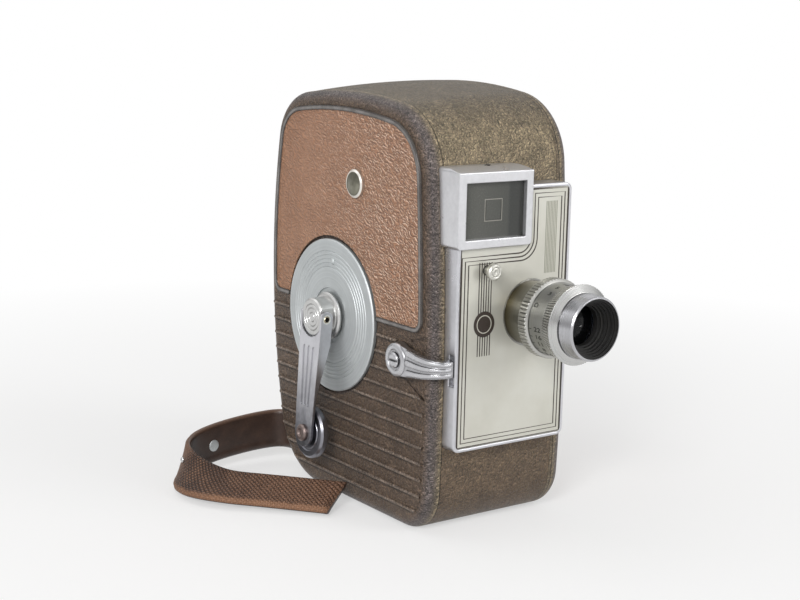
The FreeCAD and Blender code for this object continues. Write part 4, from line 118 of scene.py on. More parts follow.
class Finish:
    """A procedural material that is built node by node on the object's own coordinates."""

    def __init__(self, name, colour=(0.5, 0.5, 0.5), metallic=0.0, roughness=0.5, **sockets):
        self.material = bpy.data.materials.new(name)
        self.material.use_nodes = True
        self.tree = self.material.node_tree
        self.shader = self.tree.nodes["Principled BSDF"]
        self.place = self.add("ShaderNodeTexCoord").outputs["Object"]
        self.feed(Base_Color=(*colour, 1), Metallic=metallic, Roughness=roughness, **sockets)

    def add(self, kind, **settings):
        node = self.tree.nodes.new(kind)
        for key, value in settings.items():
            setattr(node, key, value)
        return node

    def set(self, node, socket, value):
        """Links a socket to an output, or gives it a constant."""
        target = node.inputs[socket]
        if isinstance(value, bpy.types.NodeSocket):
            self.tree.links.new(value, target)
        else:
            target.default_value = value

    def feed(self, **sockets):
        """Sets sockets of the shader."""
        for socket, value in sockets.items():
            self.set(self.shader, socket.replace("_", " "), value)

    def maths(self, operation, one, two=0.0, clamp=False):
        node = self.add("ShaderNodeMath", operation=operation, use_clamp=clamp)
        self.set(node, 0, one)
        self.set(node, 1, two)
        return node.outputs["Value"]

    def plus(self, one, two):
        return self.maths("ADD", one, two)

    def less(self, one, two):
        return self.maths("SUBTRACT", one, two)

    def times(self, one, two, clamp=False):
        return self.maths("MULTIPLY", one, two, clamp)

    def over(self, one, two, clamp=False):
        return self.maths("DIVIDE", one, two, clamp)

    def climb(self, value, start, end):
        """Goes from 0 at the start to 1 at the end, and stays there."""
        return self.over(self.less(value, start), end - start, clamp=True)

    def noise(self, grain, detail=4.0, rough=0.55, where=None):
        """Noise whose features are about grain metres across."""
        node = self.add("ShaderNodeTexNoise")
        self.set(node, "Vector", where or self.place)
        self.set(node, "Scale", 1 / grain)
        self.set(node, "Detail", detail)
        self.set(node, "Roughness", rough)
        return node.outputs["Fac"]

    def wrinkles(self, grain, where):
        """Crinkled lumps, from 0 in the narrow creases between them to 1 on top."""
        steepness = 7.0
        off = self.maths("ABSOLUTE", self.less(self.noise(grain, 2.0, 0.5, where=where), 0.5))
        return self.times(off, steepness, clamp=True)

    def shifted(self, where, x=0.0, y=0.0, z=0.0):
        node = self.add("ShaderNodeVectorMath", operation="ADD")
        self.set(node, 0, where)
        node.inputs[1].default_value = (x, y, z)
        return node.outputs["Vector"]

    def ramp(self, factor, *stops):
        """Colour or grey ramp from (place, value) stops."""
        node = self.add("ShaderNodeValToRGB")
        self.set(node, "Fac", factor)
        points = node.color_ramp.elements
        while len(points) < len(stops):
            points.new(0.5)
        for point, (place, value) in zip(points, stops):
            point.position = place
            point.color = (*value, 1) if isinstance(value, tuple) else (value, value, value, 1)
        return node.outputs["Color"]

    def blend(self, factor, one, two, way="MIX"):
        node = self.add("ShaderNodeMix", data_type="RGBA", blend_type=way)
        for number, value in ((0, factor), (6, one), (7, two)):
            self.set(node, number, (*value, 1) if isinstance(value, tuple) else value)
        return node.outputs[2]

    def darken(self, tone, mask, amount=1.0):
        """Multiplies a colour by a grey mask."""
        return self.blend(amount, tone, mask, "MULTIPLY")

    def bump(self, height, depth, below=None):
        """Relief of the given depth in metres."""
        node = self.add("ShaderNodeBump")
        self.set(node, "Height", height)
        self.set(node, "Distance", depth)
        if below:
            self.set(node, "Normal", below)
        return node.outputs["Normal"]

    def axes(self, where=None):
        node = self.add("ShaderNodeSeparateXYZ")
        self.set(node, "Vector", where or self.place)
        return node.outputs["X"], node.outputs["Y"], node.outputs["Z"]

    def radius(self, axis, centre):
        """Distance from the line that runs along an axis through the centre."""
        squares = []
        for letter, value, place in zip("XYZ", self.axes(), centre):
            if letter != axis:
                off = self.less(value, place)
                squares.append(self.times(off, off))
        return self.maths("SQRT", self.plus(*squares))

    def edges(self, width, sharpness):
        """High along raised edges: where a bevelled normal leaves the true one."""
        bevel = self.add("ShaderNodeBevel", samples=4)
        self.set(bevel, "Radius", width)
        product = self.add("ShaderNodeVectorMath", operation="DOT_PRODUCT")
        self.set(product, 0, bevel.outputs["Normal"])
        self.set(product, 1, self.add("ShaderNodeNewGeometry").outputs["Normal"])
        return self.times(self.less(1.0, product.outputs["Value"]), 1 / sharpness, clamp=True)

    def soften(self, radius, relief=None):
        """Shades edges as if they were rounded by this radius."""
        bevel = self.add("ShaderNodeBevel", samples=6)
        self.set(bevel, "Radius", radius)
        if relief:
            self.set(bevel, "Normal", relief)
        self.feed(Normal=bevel.outputs["Normal"])

    def open_air(self, reach):
        """Falls from 1 on open surfaces to 0 in grooves and corners narrower than reach."""
        node = self.add("ShaderNodeAmbientOcclusion", samples=8)
        self.set(node, "Distance", reach)
        return node.outputs["AO"]

    def warped(self, grain, amount, where=None):
        """Coordinates pushed about by noise, so that no pattern runs straight."""
        cloud = self.add("ShaderNodeTexNoise")
        self.set(cloud, "Vector", where or self.place)
        self.set(cloud, "Scale", 1 / grain)
        self.set(cloud, "Detail", 2.0)
        push = self.add("ShaderNodeVectorMath", operation="MULTIPLY_ADD")
        self.set(push, 0, cloud.outputs["Color"])
        push.inputs[1].default_value = (amount, amount, amount)
        self.set(push, 2, where or self.place)
        return push.outputs["Vector"]

    def stretched(self, angle, length):
        """Coordinates in which features are drawn out along a slanting line on the side faces."""
        node = self.add("ShaderNodeMapping", vector_type="TEXTURE")
        self.set(node, "Vector", self.place)
        node.inputs["Rotation"].default_value = (math.radians(angle), 0, 0)
        node.inputs["Scale"].default_value = (1, length, 1)
        return node.outputs["Vector"]

    def tone(self):
        """What feeds the base colour so far."""
        return self.shader.inputs["Base Color"].links[0].from_socket


# Materials

def crackled(paint, tone, grain, depth, roughness):
    """Baked crackle enamel: crinkled lumps, painted light on one slope, painted shade on the other and in
    creases.
    """
    where = paint.warped(1.8 * grain, 0.9 * grain)
    lump = paint.wrinkles(1.5 * grain, where)
    small = paint.wrinkles(0.6 * grain, where)
    # The lumps' fall towards this offset marks the slope that gets painted light and the one that gets
    # painted shade
    beside = paint.shifted(where, -0.1 * grain, -0.1 * grain, 0.12 * grain)
    slope = paint.less(lump, paint.wrinkles(1.5 * grain, beside))
    slope = paint.plus(0.5, paint.times(slope, 0.5))
    cloud = paint.noise(7 * MM, 3.0)
    dust = paint.noise(0.3 * MM, 2.0)
    # Painted shade in corners and grooves, from ambient occlusion
    corner_shade = paint.ramp(paint.open_air(1.0 * MM), (0.25, 0.3), (0.8, 1.0))
    # Painted light on one slope of each lump, painted shade on the other
    tone = paint.darken(tone, paint.ramp(slope, (0.28, 0.35), (0.5, 0.95), (0.56, 1.05), (0.75, 1.85)))
    # Painted shade in the creases between the large lumps and the small ones
    tone = paint.darken(tone, paint.ramp(lump, (0.0, 0.62), (0.25, 0.95), (1.0, 1.06)))
    tone = paint.darken(tone, paint.ramp(small, (0.0, 0.72), (0.4, 1.06)))
    tone = paint.darken(tone, paint.ramp(cloud, (0.32, 0.8), (0.68, 1.2)))
    relief = paint.bump(small, 0.4 * depth, below=paint.bump(lump, depth))
    paint.feed(Base_Color=paint.darken(tone, corner_shade))
    paint.feed(Roughness=paint.ramp(dust, (0.3, roughness + 0.08), (0.7, roughness - 0.08)))
    paint.feed(Normal=paint.bump(dust, 0.05 * MM, below=relief))
    return paint


def band_paint(name):
    """Olive-brown enamel of the band, browner towards the ground, darker there and on top with painted shade.
    """
    paint = Finish(name, metallic=0.2)
    x, y, z = paint.axes()
    # Painted light and shade by height: lightest a little above the middle, darker towards the ground and the
    # top
    tone = paint.ramp(paint.over(z, cad_high.z), (0.03, (0.13, 0.088, 0.055)), (0.3, (0.2, 0.142, 0.088)),
                      (0.6, (0.3, 0.235, 0.15)), (0.9, (0.27, 0.215, 0.135)), (0.985, (0.15, 0.118, 0.078)))
    return crackled(paint, tone, 0.75 * MM, 0.24 * MM, 0.4)


def cover_paint(name):
    """Brown enamel of a side: painted shade on the rolled shoulder, olive by the seam, painted highlights
    there and on the ribs.
    """
    paint = Finish(name, metallic=0.2)
    x, y, z = paint.axes()
    inwards = paint.less(HALF_WIDTH, paint.maths("ABSOLUTE", x))
    across = paint.over(inwards, SHOULDER)
    # Painted shade on the shoulder's roll, a painted highlight on the ridge by the seam, then the dark seam
    # line itself
    tone = paint.ramp(across, (0.02, (0.13, 0.088, 0.06)), (0.08, (0.15, 0.11, 0.088)),
                      (0.25, (0.125, 0.104, 0.1)), (0.5, (0.145, 0.118, 0.105)), (0.7, (0.19, 0.15, 0.105)),
                      (0.86, (0.29, 0.23, 0.145)), (0.93, (0.2, 0.155, 0.1)), (0.955, (0.02, 0.015, 0.01)),
                      (0.99, (0.02, 0.015, 0.01)), (1.0, (0.2, 0.155, 0.1)))
    specks = paint.ramp(paint.noise(0.55 * MM, 2.0), (0.6, 0.0), (0.7, 0.5))
    speckled = paint.ramp(across, (0.1, 0.0), (0.3, 1.0), (0.6, 0.6), (0.8, 0.0))
    tone = paint.blend(paint.times(specks, speckled), tone, (0.4, 0.34, 0.3))
    # Painted highlight along the crests of the ribs, broken up in spots
    proud = paint.over(inwards, -RIB_RISE, clamp=True)
    spots = paint.ramp(paint.noise(2.2 * MM, 4.0, 0.7), (0.32, 0.3), (0.6, 0.85))
    painted_highlight = paint.times(paint.ramp(proud, (0.4, 0.0), (0.9, 1.0)), spots)
    tone = paint.blend(painted_highlight, tone, (0.34, 0.27, 0.22))
    # Painted shadow: a dark line just below each rib
    below = paint.maths("FRACT", paint.over(paint.less(RIB_TOP, z), RIB_PITCH))
    line = paint.ramp(below, (0.08, 1.0), (0.12, 0.35), (0.19, 0.5), (0.25, 1.0))
    rib_shadow_area = paint.times(paint.maths("LESS_THAN", z, RIB_TOP), paint.maths("LESS_THAN", across, 0.01))
    rib_shadow_area = paint.times(rib_shadow_area, paint.less(1.0, proud))
    rib_shadow_area = paint.times(rib_shadow_area, paint.maths("GREATER_THAN", y, RIB_FRONT))
    return crackled(paint, paint.darken(tone, line, rib_shadow_area), 0.8 * MM, 0.24 * MM, 0.38)


def leatherette(name):
    """Tan covering with short slanting wrinkles. Their front slopes are painted light, more so forwards."""
    hide = Finish(name, roughness=0.42, Specular_IOR_Level=0.55)
    slanted = hide.stretched(22, 2.0)
    where = hide.warped(1.3 * MM, 0.7 * MM, slanted)
    lump = hide.wrinkles(1.05 * MM, where)
    # The wrinkles' fall towards this offset marks the slopes that get painted light and painted shade
    slope = hide.less(lump, hide.wrinkles(1.05 * MM, hide.shifted(where, y=-0.04 * MM, z=0.16 * MM)))
    patch = hide.noise(8 * MM, 3.0)
    dust = hide.noise(0.25 * MM, 2.0)
    x, y, z = hide.axes()
    # Painted light and shade grow stronger towards the front
    forward = hide.climb(y, 22 * MM, -18 * MM)
    body = hide.ramp(patch, (0.3, (0.36, 0.178, 0.098)), (0.55, (0.41, 0.208, 0.118)),
                     (0.75, (0.46, 0.243, 0.143)))
    # Painted shade on the wrinkles' back slopes and in their creases, stronger forwards
    shade = hide.ramp(hide.plus(0.5, hide.times(slope, 0.5)), (0.22, 0.42), (0.42, 0.88), (0.5, 1.0))
    crease = hide.ramp(lump, (0.0, 0.5), (0.3, 1.0))
    hollow = hide.darken(hide.darken(body, shade), crease)
    body = hide.blend(hide.plus(0.4, hide.times(forward, 0.55)), body, hollow)
    # Painted highlights on the wrinkles' front slopes, broken up, stronger forwards
    painted_highlight = hide.ramp(slope, (0.12, 0.0), (0.38, 1.0))
    broken = hide.ramp(hide.noise(1.6 * MM, 3.0, where=slanted), (0.34, 0.1), (0.52, 1.0))
    share = hide.times(hide.times(painted_highlight, broken), hide.plus(0.12, hide.times(forward, 0.75)))
    tone = hide.blend(share, body, (0.85, 0.64, 0.5))
    # Painted shade in corners and along the panel's edges, from ambient occlusion
    edge = hide.ramp(hide.open_air(0.9 * MM), (0.45, 0.3), (0.9, 1.0))
    hide.feed(Base_Color=hide.darken(tone, edge))
    hide.feed(Roughness=hide.ramp(dust, (0.3, 0.5), (0.7, 0.36)))
    hide.feed(Normal=hide.bump(dust, 0.04 * MM, below=hide.bump(lump, 0.3 * MM)))
    return hide


def polished(name, colour, roughness, corner_shade=0.0, metallic=1.0, edge=0.25, deep=0.25):
    """Plain or plated metal with faint smears. Painted shade reaches so many millimetres out of its corners.
    """
    metal = Finish(name, metallic=metallic)
    line = metal.noise(1.2 * MM, 4.0, 0.6)
    smear = metal.noise(6 * MM, 3.0)
    pale = tuple(min(1.0, part * 1.03) for part in colour)
    dull = tuple(part * 0.96 for part in colour)
    tone = metal.ramp(line, (0.35, dull), (0.65, pale))
    tone = metal.darken(tone, metal.ramp(smear, (0.34, 0.94), (0.58, 1.0)))
    # Painted shade in grooves and corners, down to deep, from ambient occlusion
    if corner_shade:
        tone = metal.darken(tone, metal.ramp(metal.open_air(corner_shade * MM), (0.2, deep), (0.75, 1.0)))
    metal.feed(Base_Color=tone)
    metal.feed(Roughness=metal.ramp(smear, (0.3, roughness + 0.04), (0.7, roughness - 0.03)))
    metal.soften(edge * MM)
    return metal


def crank_metal(name):
    """Plated steel of the folded crank arm, blackened towards the knob by a painted dark reflection."""
    metal = polished(name, (0.6, 0.6, 0.63), 0.3, corner_shade=0.8, edge=0.35, deep=0.5)
    x, y, z = metal.axes()
    # Painted dark reflection, patchy, on the lower arm towards the knob
    down = metal.climb(z, DISC.z - 14 * MM, DISC.z - 30 * MM)
    dark = metal.times(down, metal.ramp(metal.noise(4 * MM), (0.3, 0.55), (0.6, 1.0)))
    tone = metal.blend(dark, metal.tone(), (0.2, 0.2, 0.22))
    collar = metal.maths("LESS_THAN", metal.radius("Y", CRANK_PIN), PIN_COLLAR)
    metal.feed(Base_Color=metal.blend(collar, tone, (0.85, 0.84, 0.8)))
    return metal


def bead_metal(name):
    """Half-round trim round the leather: pale along its top, painted shade where its sides fall away."""
    metal = Finish(name, metallic=0.6)
    smear = metal.noise(4 * MM, 3.0)
    crest = metal.ramp(smear, (0.35, (0.17, 0.158, 0.15)), (0.65, (0.27, 0.255, 0.245)))
    # Painted shade where the bead's sides fall away
    side_shade = metal.edges(0.65 * MM, 0.1)
    metal.feed(Base_Color=metal.blend(side_shade, crest, (0.025, 0.022, 0.02)))
    metal.feed(Roughness=metal.ramp(smear, (0.3, 0.36), (0.7, 0.28)))
    metal.soften(0.6 * MM)
    return metal


def lever_metal(name):
    """Bright plating of the release lever with painted black shade between its ribs."""
    metal = polished(name, (0.56, 0.56, 0.58), 0.27, edge=0.45)
    # Painted shade: near black in the grooves between the ribs, from ambient occlusion
    groove_shade = metal.ramp(metal.open_air(0.9 * MM), (0.5, 0.05), (0.95, 1.0))
    metal.feed(Base_Color=metal.darken(metal.tone(), groove_shade))
    return metal


def pin_metal(name):
    """Brass fold pin with painted shade in its drilled end."""
    metal = Finish(name, metallic=1.0, roughness=0.35)
    spots = metal.noise(0.3 * MM, 3.0)
    brass = metal.ramp(spots, (0.3, (0.42, 0.37, 0.26)), (0.7, (0.6, 0.55, 0.43)))
    # Painted shade of the hole in the pin's end
    hole = metal.maths("LESS_THAN", metal.radius("Y", CRANK_PIN), PIN_HOLE)
    metal.feed(Base_Color=metal.blend(hole, brass, (0.012, 0.011, 0.01)))
    return metal


def stud_metal(name):
    """Dull olive face of the round stud inside its bright turned rim."""
    metal = Finish(name, metallic=1.0)
    smear = metal.noise(2.5 * MM, 3.0)
    face = metal.ramp(smear, (0.3, (0.15, 0.145, 0.11)), (0.7, (0.27, 0.26, 0.21)))
    rim = metal.maths("GREATER_THAN", metal.radius("X", STUD), STUD_FACE)
    metal.feed(Base_Color=metal.blend(rim, face, (0.8, 0.77, 0.72)))
    metal.feed(Roughness=metal.ramp(smear, (0.3, 0.36), (0.7, 0.28)))
    return metal


def turned_metal(name, colour, roughness, axis, centre, ring=0.35, depth=0.01, dull=0.9, corner_shade=0.0,
                 edge=0.15):
    """Metal turned on a lathe, with fine rings about an axis. Ring, depth, the reach of painted corner shade,
    and edge are millimetres.
    """
    metal = Finish(name, metallic=1.0)
    along = metal.axes()["XYZ".index(axis)]
    spread = metal.add("ShaderNodeCombineXYZ")
    metal.set(spread, "X", metal.radius(axis, centre))
    metal.set(spread, "Y", along)
    coarse = metal.noise(ring * MM, 3.0, 0.6, where=spread.outputs["Vector"])
    stain = metal.noise(6 * MM)
    pale = tuple(min(1.0, part * 1.05) for part in colour)
    tone = metal.ramp(coarse, (0.3, tuple(part * dull for part in colour)), (0.7, pale))
    tone = metal.darken(tone, metal.ramp(stain, (0.35, 0.94), (0.6, 1.0)))
    # Painted shade in grooves and corners, from ambient occlusion
    if corner_shade:
        tone = metal.darken(tone, metal.ramp(metal.open_air(corner_shade * MM), (0.25, 0.12), (0.8, 1.0)))
    metal.feed(Base_Color=tone)
    metal.feed(Roughness=metal.ramp(coarse, (0.3, roughness + 0.06), (0.7, roughness - 0.04)))
    metal.soften(edge * MM, metal.bump(coarse, depth * MM))
    return metal


def lens_metal(name, colour, roughness):
    """Lens ring: turned metal with painted shade between its fine teeth."""
    return turned_metal(name, colour, roughness, "Y", LENS, corner_shade=0.7)


def barrel_metal(name):
    """Lens barrel: the part by the plate is brown under painted shade, the sleeve is dull, the inside black.
    """
    metal = lens_metal(name, (0.36, 0.36, 0.34), 0.34)
    x, y, z = metal.axes()
    # Brassy brown tone with painted shade over it on the barrel's root by the plate
    root = metal.ramp(metal.climb(y, PLATE_FRONT, PLATE_FRONT - 10 * MM), (0.1, 1.0), (0.95, 0.0))
    tone = metal.blend(root, metal.tone(), (0.1, 0.086, 0.052))
    inside = metal.maths("LESS_THAN", metal.radius("Y", LENS), BARREL_BORE)
    metal.feed(Base_Color=metal.blend(inside, tone, (0.012, 0.012, 0.012)))
    metal.feed(Metallic=metal.less(1.0, inside))
    return metal


def hood_metal(name):
    """Front hood: satin nickel outside, matt black with fine turned steps inside."""
    step = 0.6 * MM
    metal = turned_metal(name, (0.5, 0.5, 0.52), 0.27, "Y", LENS)
    x, y, z = metal.axes()
    inside = metal.maths("LESS_THAN", metal.radius("Y", LENS), HOOD_BORE)
    thread = metal.maths("FRACT", metal.over(y, step))
    black = metal.ramp(thread, (0.0, (0.004, 0.004, 0.004)), (0.8, (0.009, 0.0085, 0.008)),
                       (0.9, (0.04, 0.038, 0.034)))
    gloss = metal.shader.inputs["Roughness"].links[0].from_socket
    metal.feed(Base_Color=metal.blend(inside, metal.tone(), black))
    metal.feed(Metallic=metal.less(1.0, inside))
    metal.feed(Roughness=metal.blend(inside, gloss, (0.6, 0.6, 0.6)))
    return metal


def ivory_plate(name):
    """Printed face plate: pale satin lacquer over metal, a little yellowed, scuffed and spotted."""
    plate = Finish(name, metallic=0.4)
    stain = plate.noise(14 * MM)
    scuff = plate.noise(1.3 * MM, 6.0, 0.75)
    fleck = plate.noise(0.5 * MM, 3.0, 0.6)
    tone = plate.ramp(stain, (0.3, (0.575, 0.565, 0.5)), (0.5, (0.62, 0.61, 0.545)),
                      (0.7, (0.65, 0.645, 0.585)))
    tone = plate.blend(plate.ramp(scuff, (0.66, 0.0), (0.74, 0.35)), tone, (0.36, 0.34, 0.3))
    tone = plate.blend(plate.ramp(fleck, (0.74, 0.0), (0.78, 0.5)), tone, (0.25, 0.2, 0.15))
    # Painted shade along the plate's edges and round the parts standing on it, from ambient occlusion
    edge = plate.ramp(plate.open_air(1.5 * MM), (0.35, 0.45), (0.8, 1.0))
    plate.feed(Base_Color=plate.darken(tone, edge))
    plate.feed(Roughness=plate.ramp(stain, (0.3, 0.42), (0.7, 0.34)))
    return plate


def black_lacquer(name):
    """Black finish with fine dust in it."""
    paint = Finish(name)
    grain = paint.noise(0.25 * MM, 3.0)
    paint.feed(Base_Color=paint.ramp(grain, (0.35, (0.02, 0.02, 0.019)), (0.75, (0.038, 0.038, 0.0361))))
    paint.feed(Roughness=paint.ramp(grain, (0.3, 0.52), (0.7, 0.32)))
    paint.feed(Normal=paint.bump(grain, 0.015 * MM))
    return paint


def dull_black(name):
    """Painted shade of a small hole: dark, with no shine on it."""
    paint = Finish(name, roughness=0.9, Specular_IOR_Level=0.0)
    grain = paint.noise(0.2 * MM, 2.0)
    paint.feed(Base_Color=paint.ramp(grain, (0.3, (0.004, 0.004, 0.004)), (0.7, (0.01, 0.01, 0.01))))
    return paint


def lens_glass(name, tint):
    """Bloomed optical glass. Its low index stands for the coating, so that it reflects little."""
    glass = Finish(name, tint, roughness=0.03, IOR=1.3, Transmission_Weight=1.0)
    haze = glass.noise(2.5 * MM)
    glass.feed(Roughness=glass.ramp(haze, (0.4, 0.02), (0.75, 0.09)))
    return glass


def finder_glass(name):
    """Finder window: smoky green-grey glass that hardly lets light back out, darker at its far side."""
    glass = Finish(name, roughness=0.2, Specular_IOR_Level=0.35, Coat_Weight=0.25, Coat_Roughness=0.05)
    x, y, z = glass.axes()
    across = glass.climb(x, FINDER_LOW.x, FINDER_HIGH.x)
    shade = glass.ramp(across, (0.12, (0.07, 0.072, 0.062)), (0.3, (0.085, 0.086, 0.076)),
                       (0.7, (0.06, 0.062, 0.055)), (0.74, (0.034, 0.036, 0.033)),
                       (0.9, (0.03, 0.031, 0.028)))
    dust = glass.ramp(glass.noise(0.4 * MM, 5.0, 0.7), (0.5, 1.0), (0.74, 1.9))
    glass.feed(Base_Color=glass.darken(shade, dust, 0.7))
    return glass


def ink(name, colour):
    """Printing ink, thinner and paler in tiny spots."""
    paint = Finish(name)
    spots = paint.noise(0.18 * MM, 4.0, 0.7)
    pale = tuple(part * 1.5 + 0.05 for part in colour)
    paint.feed(Base_Color=paint.ramp(spots, (0.55, colour), (0.78, pale)))
    paint.feed(Roughness=paint.ramp(spots, (0.3, 0.45), (0.7, 0.6)))
    return paint


def woven_band(name):
    """Brown strap: basket weave on the outer face with a smooth tan rim, dark leather under painted shade on
    the back.
    """
    pitch = 1.5 * MM
    band = Finish(name)
    source = band.add("ShaderNodeAttribute", attribute_name="band_place")
    along, across, face = band.axes(source.outputs["Vector"])
    wander = band.times(band.less(band.noise(3 * MM, 2.0), 0.5), 0.5 * MM)
    u = band.over(band.plus(along, wander), pitch)
    v = band.over(across, pitch)
    slope_one = band.plus(u, v)
    slope_two = band.less(u, v)
    parity = band.plus(band.maths("FLOOR", slope_one), band.maths("FLOOR", slope_two))
    odd = band.times(band.maths("FRACT", band.times(parity, 0.5)), 2.0)
    first = band.maths("SINE", band.times(band.maths("FRACT", slope_one), math.pi))
    second = band.maths("SINE", band.times(band.maths("FRACT", slope_two), math.pi))
    upper = band.times(first, band.maths("SQRT", second))
    lower = band.times(second, band.maths("SQRT", first))
    height = band.plus(band.times(upper, odd), band.times(lower, band.less(1.0, odd)))
    front = band.maths("GREATER_THAN", face, 0.5)
    fibre = band.noise(0.4 * MM, 4.0, 0.7)
    patch = band.noise(5 * MM, 3.0)

    # Painted shade in the low parts of the weave, the strap's brown on the raised threads
    weave = band.ramp(height, (0.15, (0.03, 0.015, 0.01)), (0.5, (0.07, 0.034, 0.021)),
                      (0.95, (0.125, 0.062, 0.037)))
    worn = band.ramp(patch, (0.4, 0.0), (0.66, 0.6))
    weave = band.blend(band.times(worn, height), weave, (0.3, 0.16, 0.095))
    bend = band.climb(along, 88 * MM, 82 * MM)
    weave = band.blend(band.times(bend, 0.85), weave, (0.15, 0.075, 0.042))
    ending = band.climb(along, 96 * MM, 126 * MM)
    frayed = band.times(ending, band.ramp(fibre, (0.35, 0.0), (0.6, 0.75)))
    weave = band.blend(frayed, weave, (0.33, 0.17, 0.1))
    # Tan rim along the low edge: its own colour, partly painted light where its bead catches it
    rim_line = band.plus(across, band.plus(4.3 * MM, band.times(wander, 2.5)))
    rim = band.over(rim_line, -1.1 * MM, clamp=True)
    weave = band.blend(band.times(rim, 0.7), weave, (0.3, 0.15, 0.08))

    # Back face: dark leather with painted shade inside the loop, and painted light along its top edge
    back = band.ramp(patch, (0.3, (0.036, 0.019, 0.013)), (0.7, (0.065, 0.035, 0.024)))
    top = band.climb(across, 5.3 * MM, 6.2 * MM)
    back = band.blend(band.times(top, 0.7), back, (0.2, 0.12, 0.085))
    speck = band.ramp(fibre, (0.3, 0.7), (0.7, 1.2))
    band.feed(Base_Color=band.darken(band.blend(front, back, weave), speck, 0.8))
    band.feed(Roughness=band.blend(front, (0.36, 0.36, 0.36), (0.55, 0.55, 0.55)))
    smooth = band.maths("MAXIMUM", band.times(rim, 0.6), bend)
    relief = band.bump(band.times(band.times(height, front), band.less(1.0, smooth)), 0.6 * MM)
    band.feed(Normal=band.bump(fibre, 0.06 * MM, below=relief))
    return band


# Shapes that the pieces are made with

def mesh_from(form, name, smooth=False):
    bmesh.ops.recalc_face_normals(form, faces=form.faces)
    mesh = bpy.data.meshes.new(name)
    form.to_mesh(mesh)
    form.free()
    for polygon in mesh.polygons:
        polygon.use_smooth = smooth
    return mesh


def new_object(name, mesh, finish):
    """Piece that rides on the housing, as all the pieces made here do."""
    piece = bpy.data.objects.new(name, mesh)
    bpy.context.scene.collection.objects.link(piece)
    piece.data.materials.append(finish.material)
    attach(piece, "housing")
    return piece


def arc_points(centre, radius, start, end, steps=8):
    """Points of an arc in a plane, with angles in degrees."""
    points = []
    for step in range(steps + 1):
        angle = math.radians(start + (end - start) * step / steps)
        points.append((centre[0] + radius * math.cos(angle), centre[1] + radius * math.sin(angle)))
    return points


def circle_points(centre, radius, steps=64):
    return arc_points(centre, radius, 0, 360, steps)[:-1]


def raised_line(form, points, width, rise=0.02, front=PLATE_FRONT, closed=True):
    """Ribbon of ink along a path in the plate's plane, in millimetres, standing just proud of it."""
    count = len(points)
    rows = []
    for number, point in enumerate(points):
        before = points[number - 1] if closed or number else point
        after = points[(number + 1) % count] if closed or number < count - 1 else point
        along = Vector((after[0] - before[0], after[1] - before[1])).normalized()
        aside = Vector((-along.y, along.x)) * width / 2
        row = []
        for side, depth in ((1, 0), (1, 1), (-1, 1), (-1, 0)):
            x = point[0] + aside.x * side
            z = point[1] + aside.y * side
            row.append(form.verts.new((x * MM, front - depth * rise * MM, z * MM)))
        rows.append(row)
    pairs = zip(rows, rows[1:] + rows[:1]) if closed else zip(rows, rows[1:])
    for one, two in pairs:
        for a, b in ((0, 1), (1, 2), (2, 3), (3, 0)):
            form.faces.new((one[a], one[b], two[b], two[a]))
    if not closed:
        form.faces.new(rows[0])
        form.faces.new(list(reversed(rows[-1])))


def small_dome(name, spot, outward, profile, finish):
    """Turned button of (radius, height) points in millimetres on a spot, facing outward."""
    steps = 32
    form = bmesh.new()
    outward = Vector(outward).normalized()
    aside = Vector((0, 0, 1)).cross(outward).normalized()
    up = outward.cross(aside)
    rows = []
    for radius, proud in profile:
        row = []
        for number in range(steps if radius else 1):
            angle = 2 * math.pi * number / steps
            reach = (aside * math.cos(angle) + up * math.sin(angle)) * radius
            row.append(form.verts.new(Vector(spot) + (outward * proud + reach) * MM))
        rows.append(row)
    for number in range(steps):
        form.faces.new((rows[0][0], rows[1][number], rows[1][(number + 1) % steps]))
    for one, two in zip(rows[1:], rows[2:]):
        for number in range(steps):
            after = (number + 1) % steps
            form.faces.new((one[number], two[number], two[after], one[after]))
    form.faces.new(rows[-1])
    return new_object(name, mesh_from(form, name, smooth=True), finish)


def spline_samples(points, name):
    """Points of the NURBS spline that has the given control points, in metres."""
    curve = bpy.data.curves.new(name, "CURVE")
    curve.dimensions = "3D"
    spline = curve.splines.new("NURBS")
    spline.points.add(len(points) - 1)
    for target, point in zip(spline.points, points):
        target.co = (point[0] * MM, point[1] * MM, point[2] * MM, 1)
    spline.order_u = 3
    spline.use_endpoint_u = True
    spline.resolution_u = 12
    holder = bpy.data.objects.new(name, curve)
    bpy.context.scene.collection.objects.link(holder)
    bpy.context.view_layer.update()
    mesh = bpy.data.meshes.new_from_object(holder.evaluated_get(bpy.context.evaluated_depsgraph_get()))
    samples = [vertex.co.copy() for vertex in mesh.vertices]
    bpy.data.objects.remove(holder)
    bpy.data.meshes.remove(mesh)
    return samples


# Printing on the front plate and the finder's glass, laid out in millimetres

def printed(name, form, finish):
    new_object(name, mesh_from(form, name), finish)


def plate_path(inset, under, beside, corner):
    """One pinstripe: round the plate at an inset and round the finder's lower right corner."""
    left, right = PLATE_LOW.x / MM + inset, PLATE_HIGH.x / MM - inset
    low, high = PLATE_LOW.z / MM + inset, PLATE_HIGH.z / MM - inset
    finder_low = FINDER_LOW.z / MM - under
    finder_right = FINDER_HIGH.x / MM + beside
    path = [(left, low), (right, low), (right, high), (finder_right, high)]
    path += arc_points((finder_right - corner, finder_low + corner), corner, 0, -90)
    path += [(left, finder_low)]
    return path


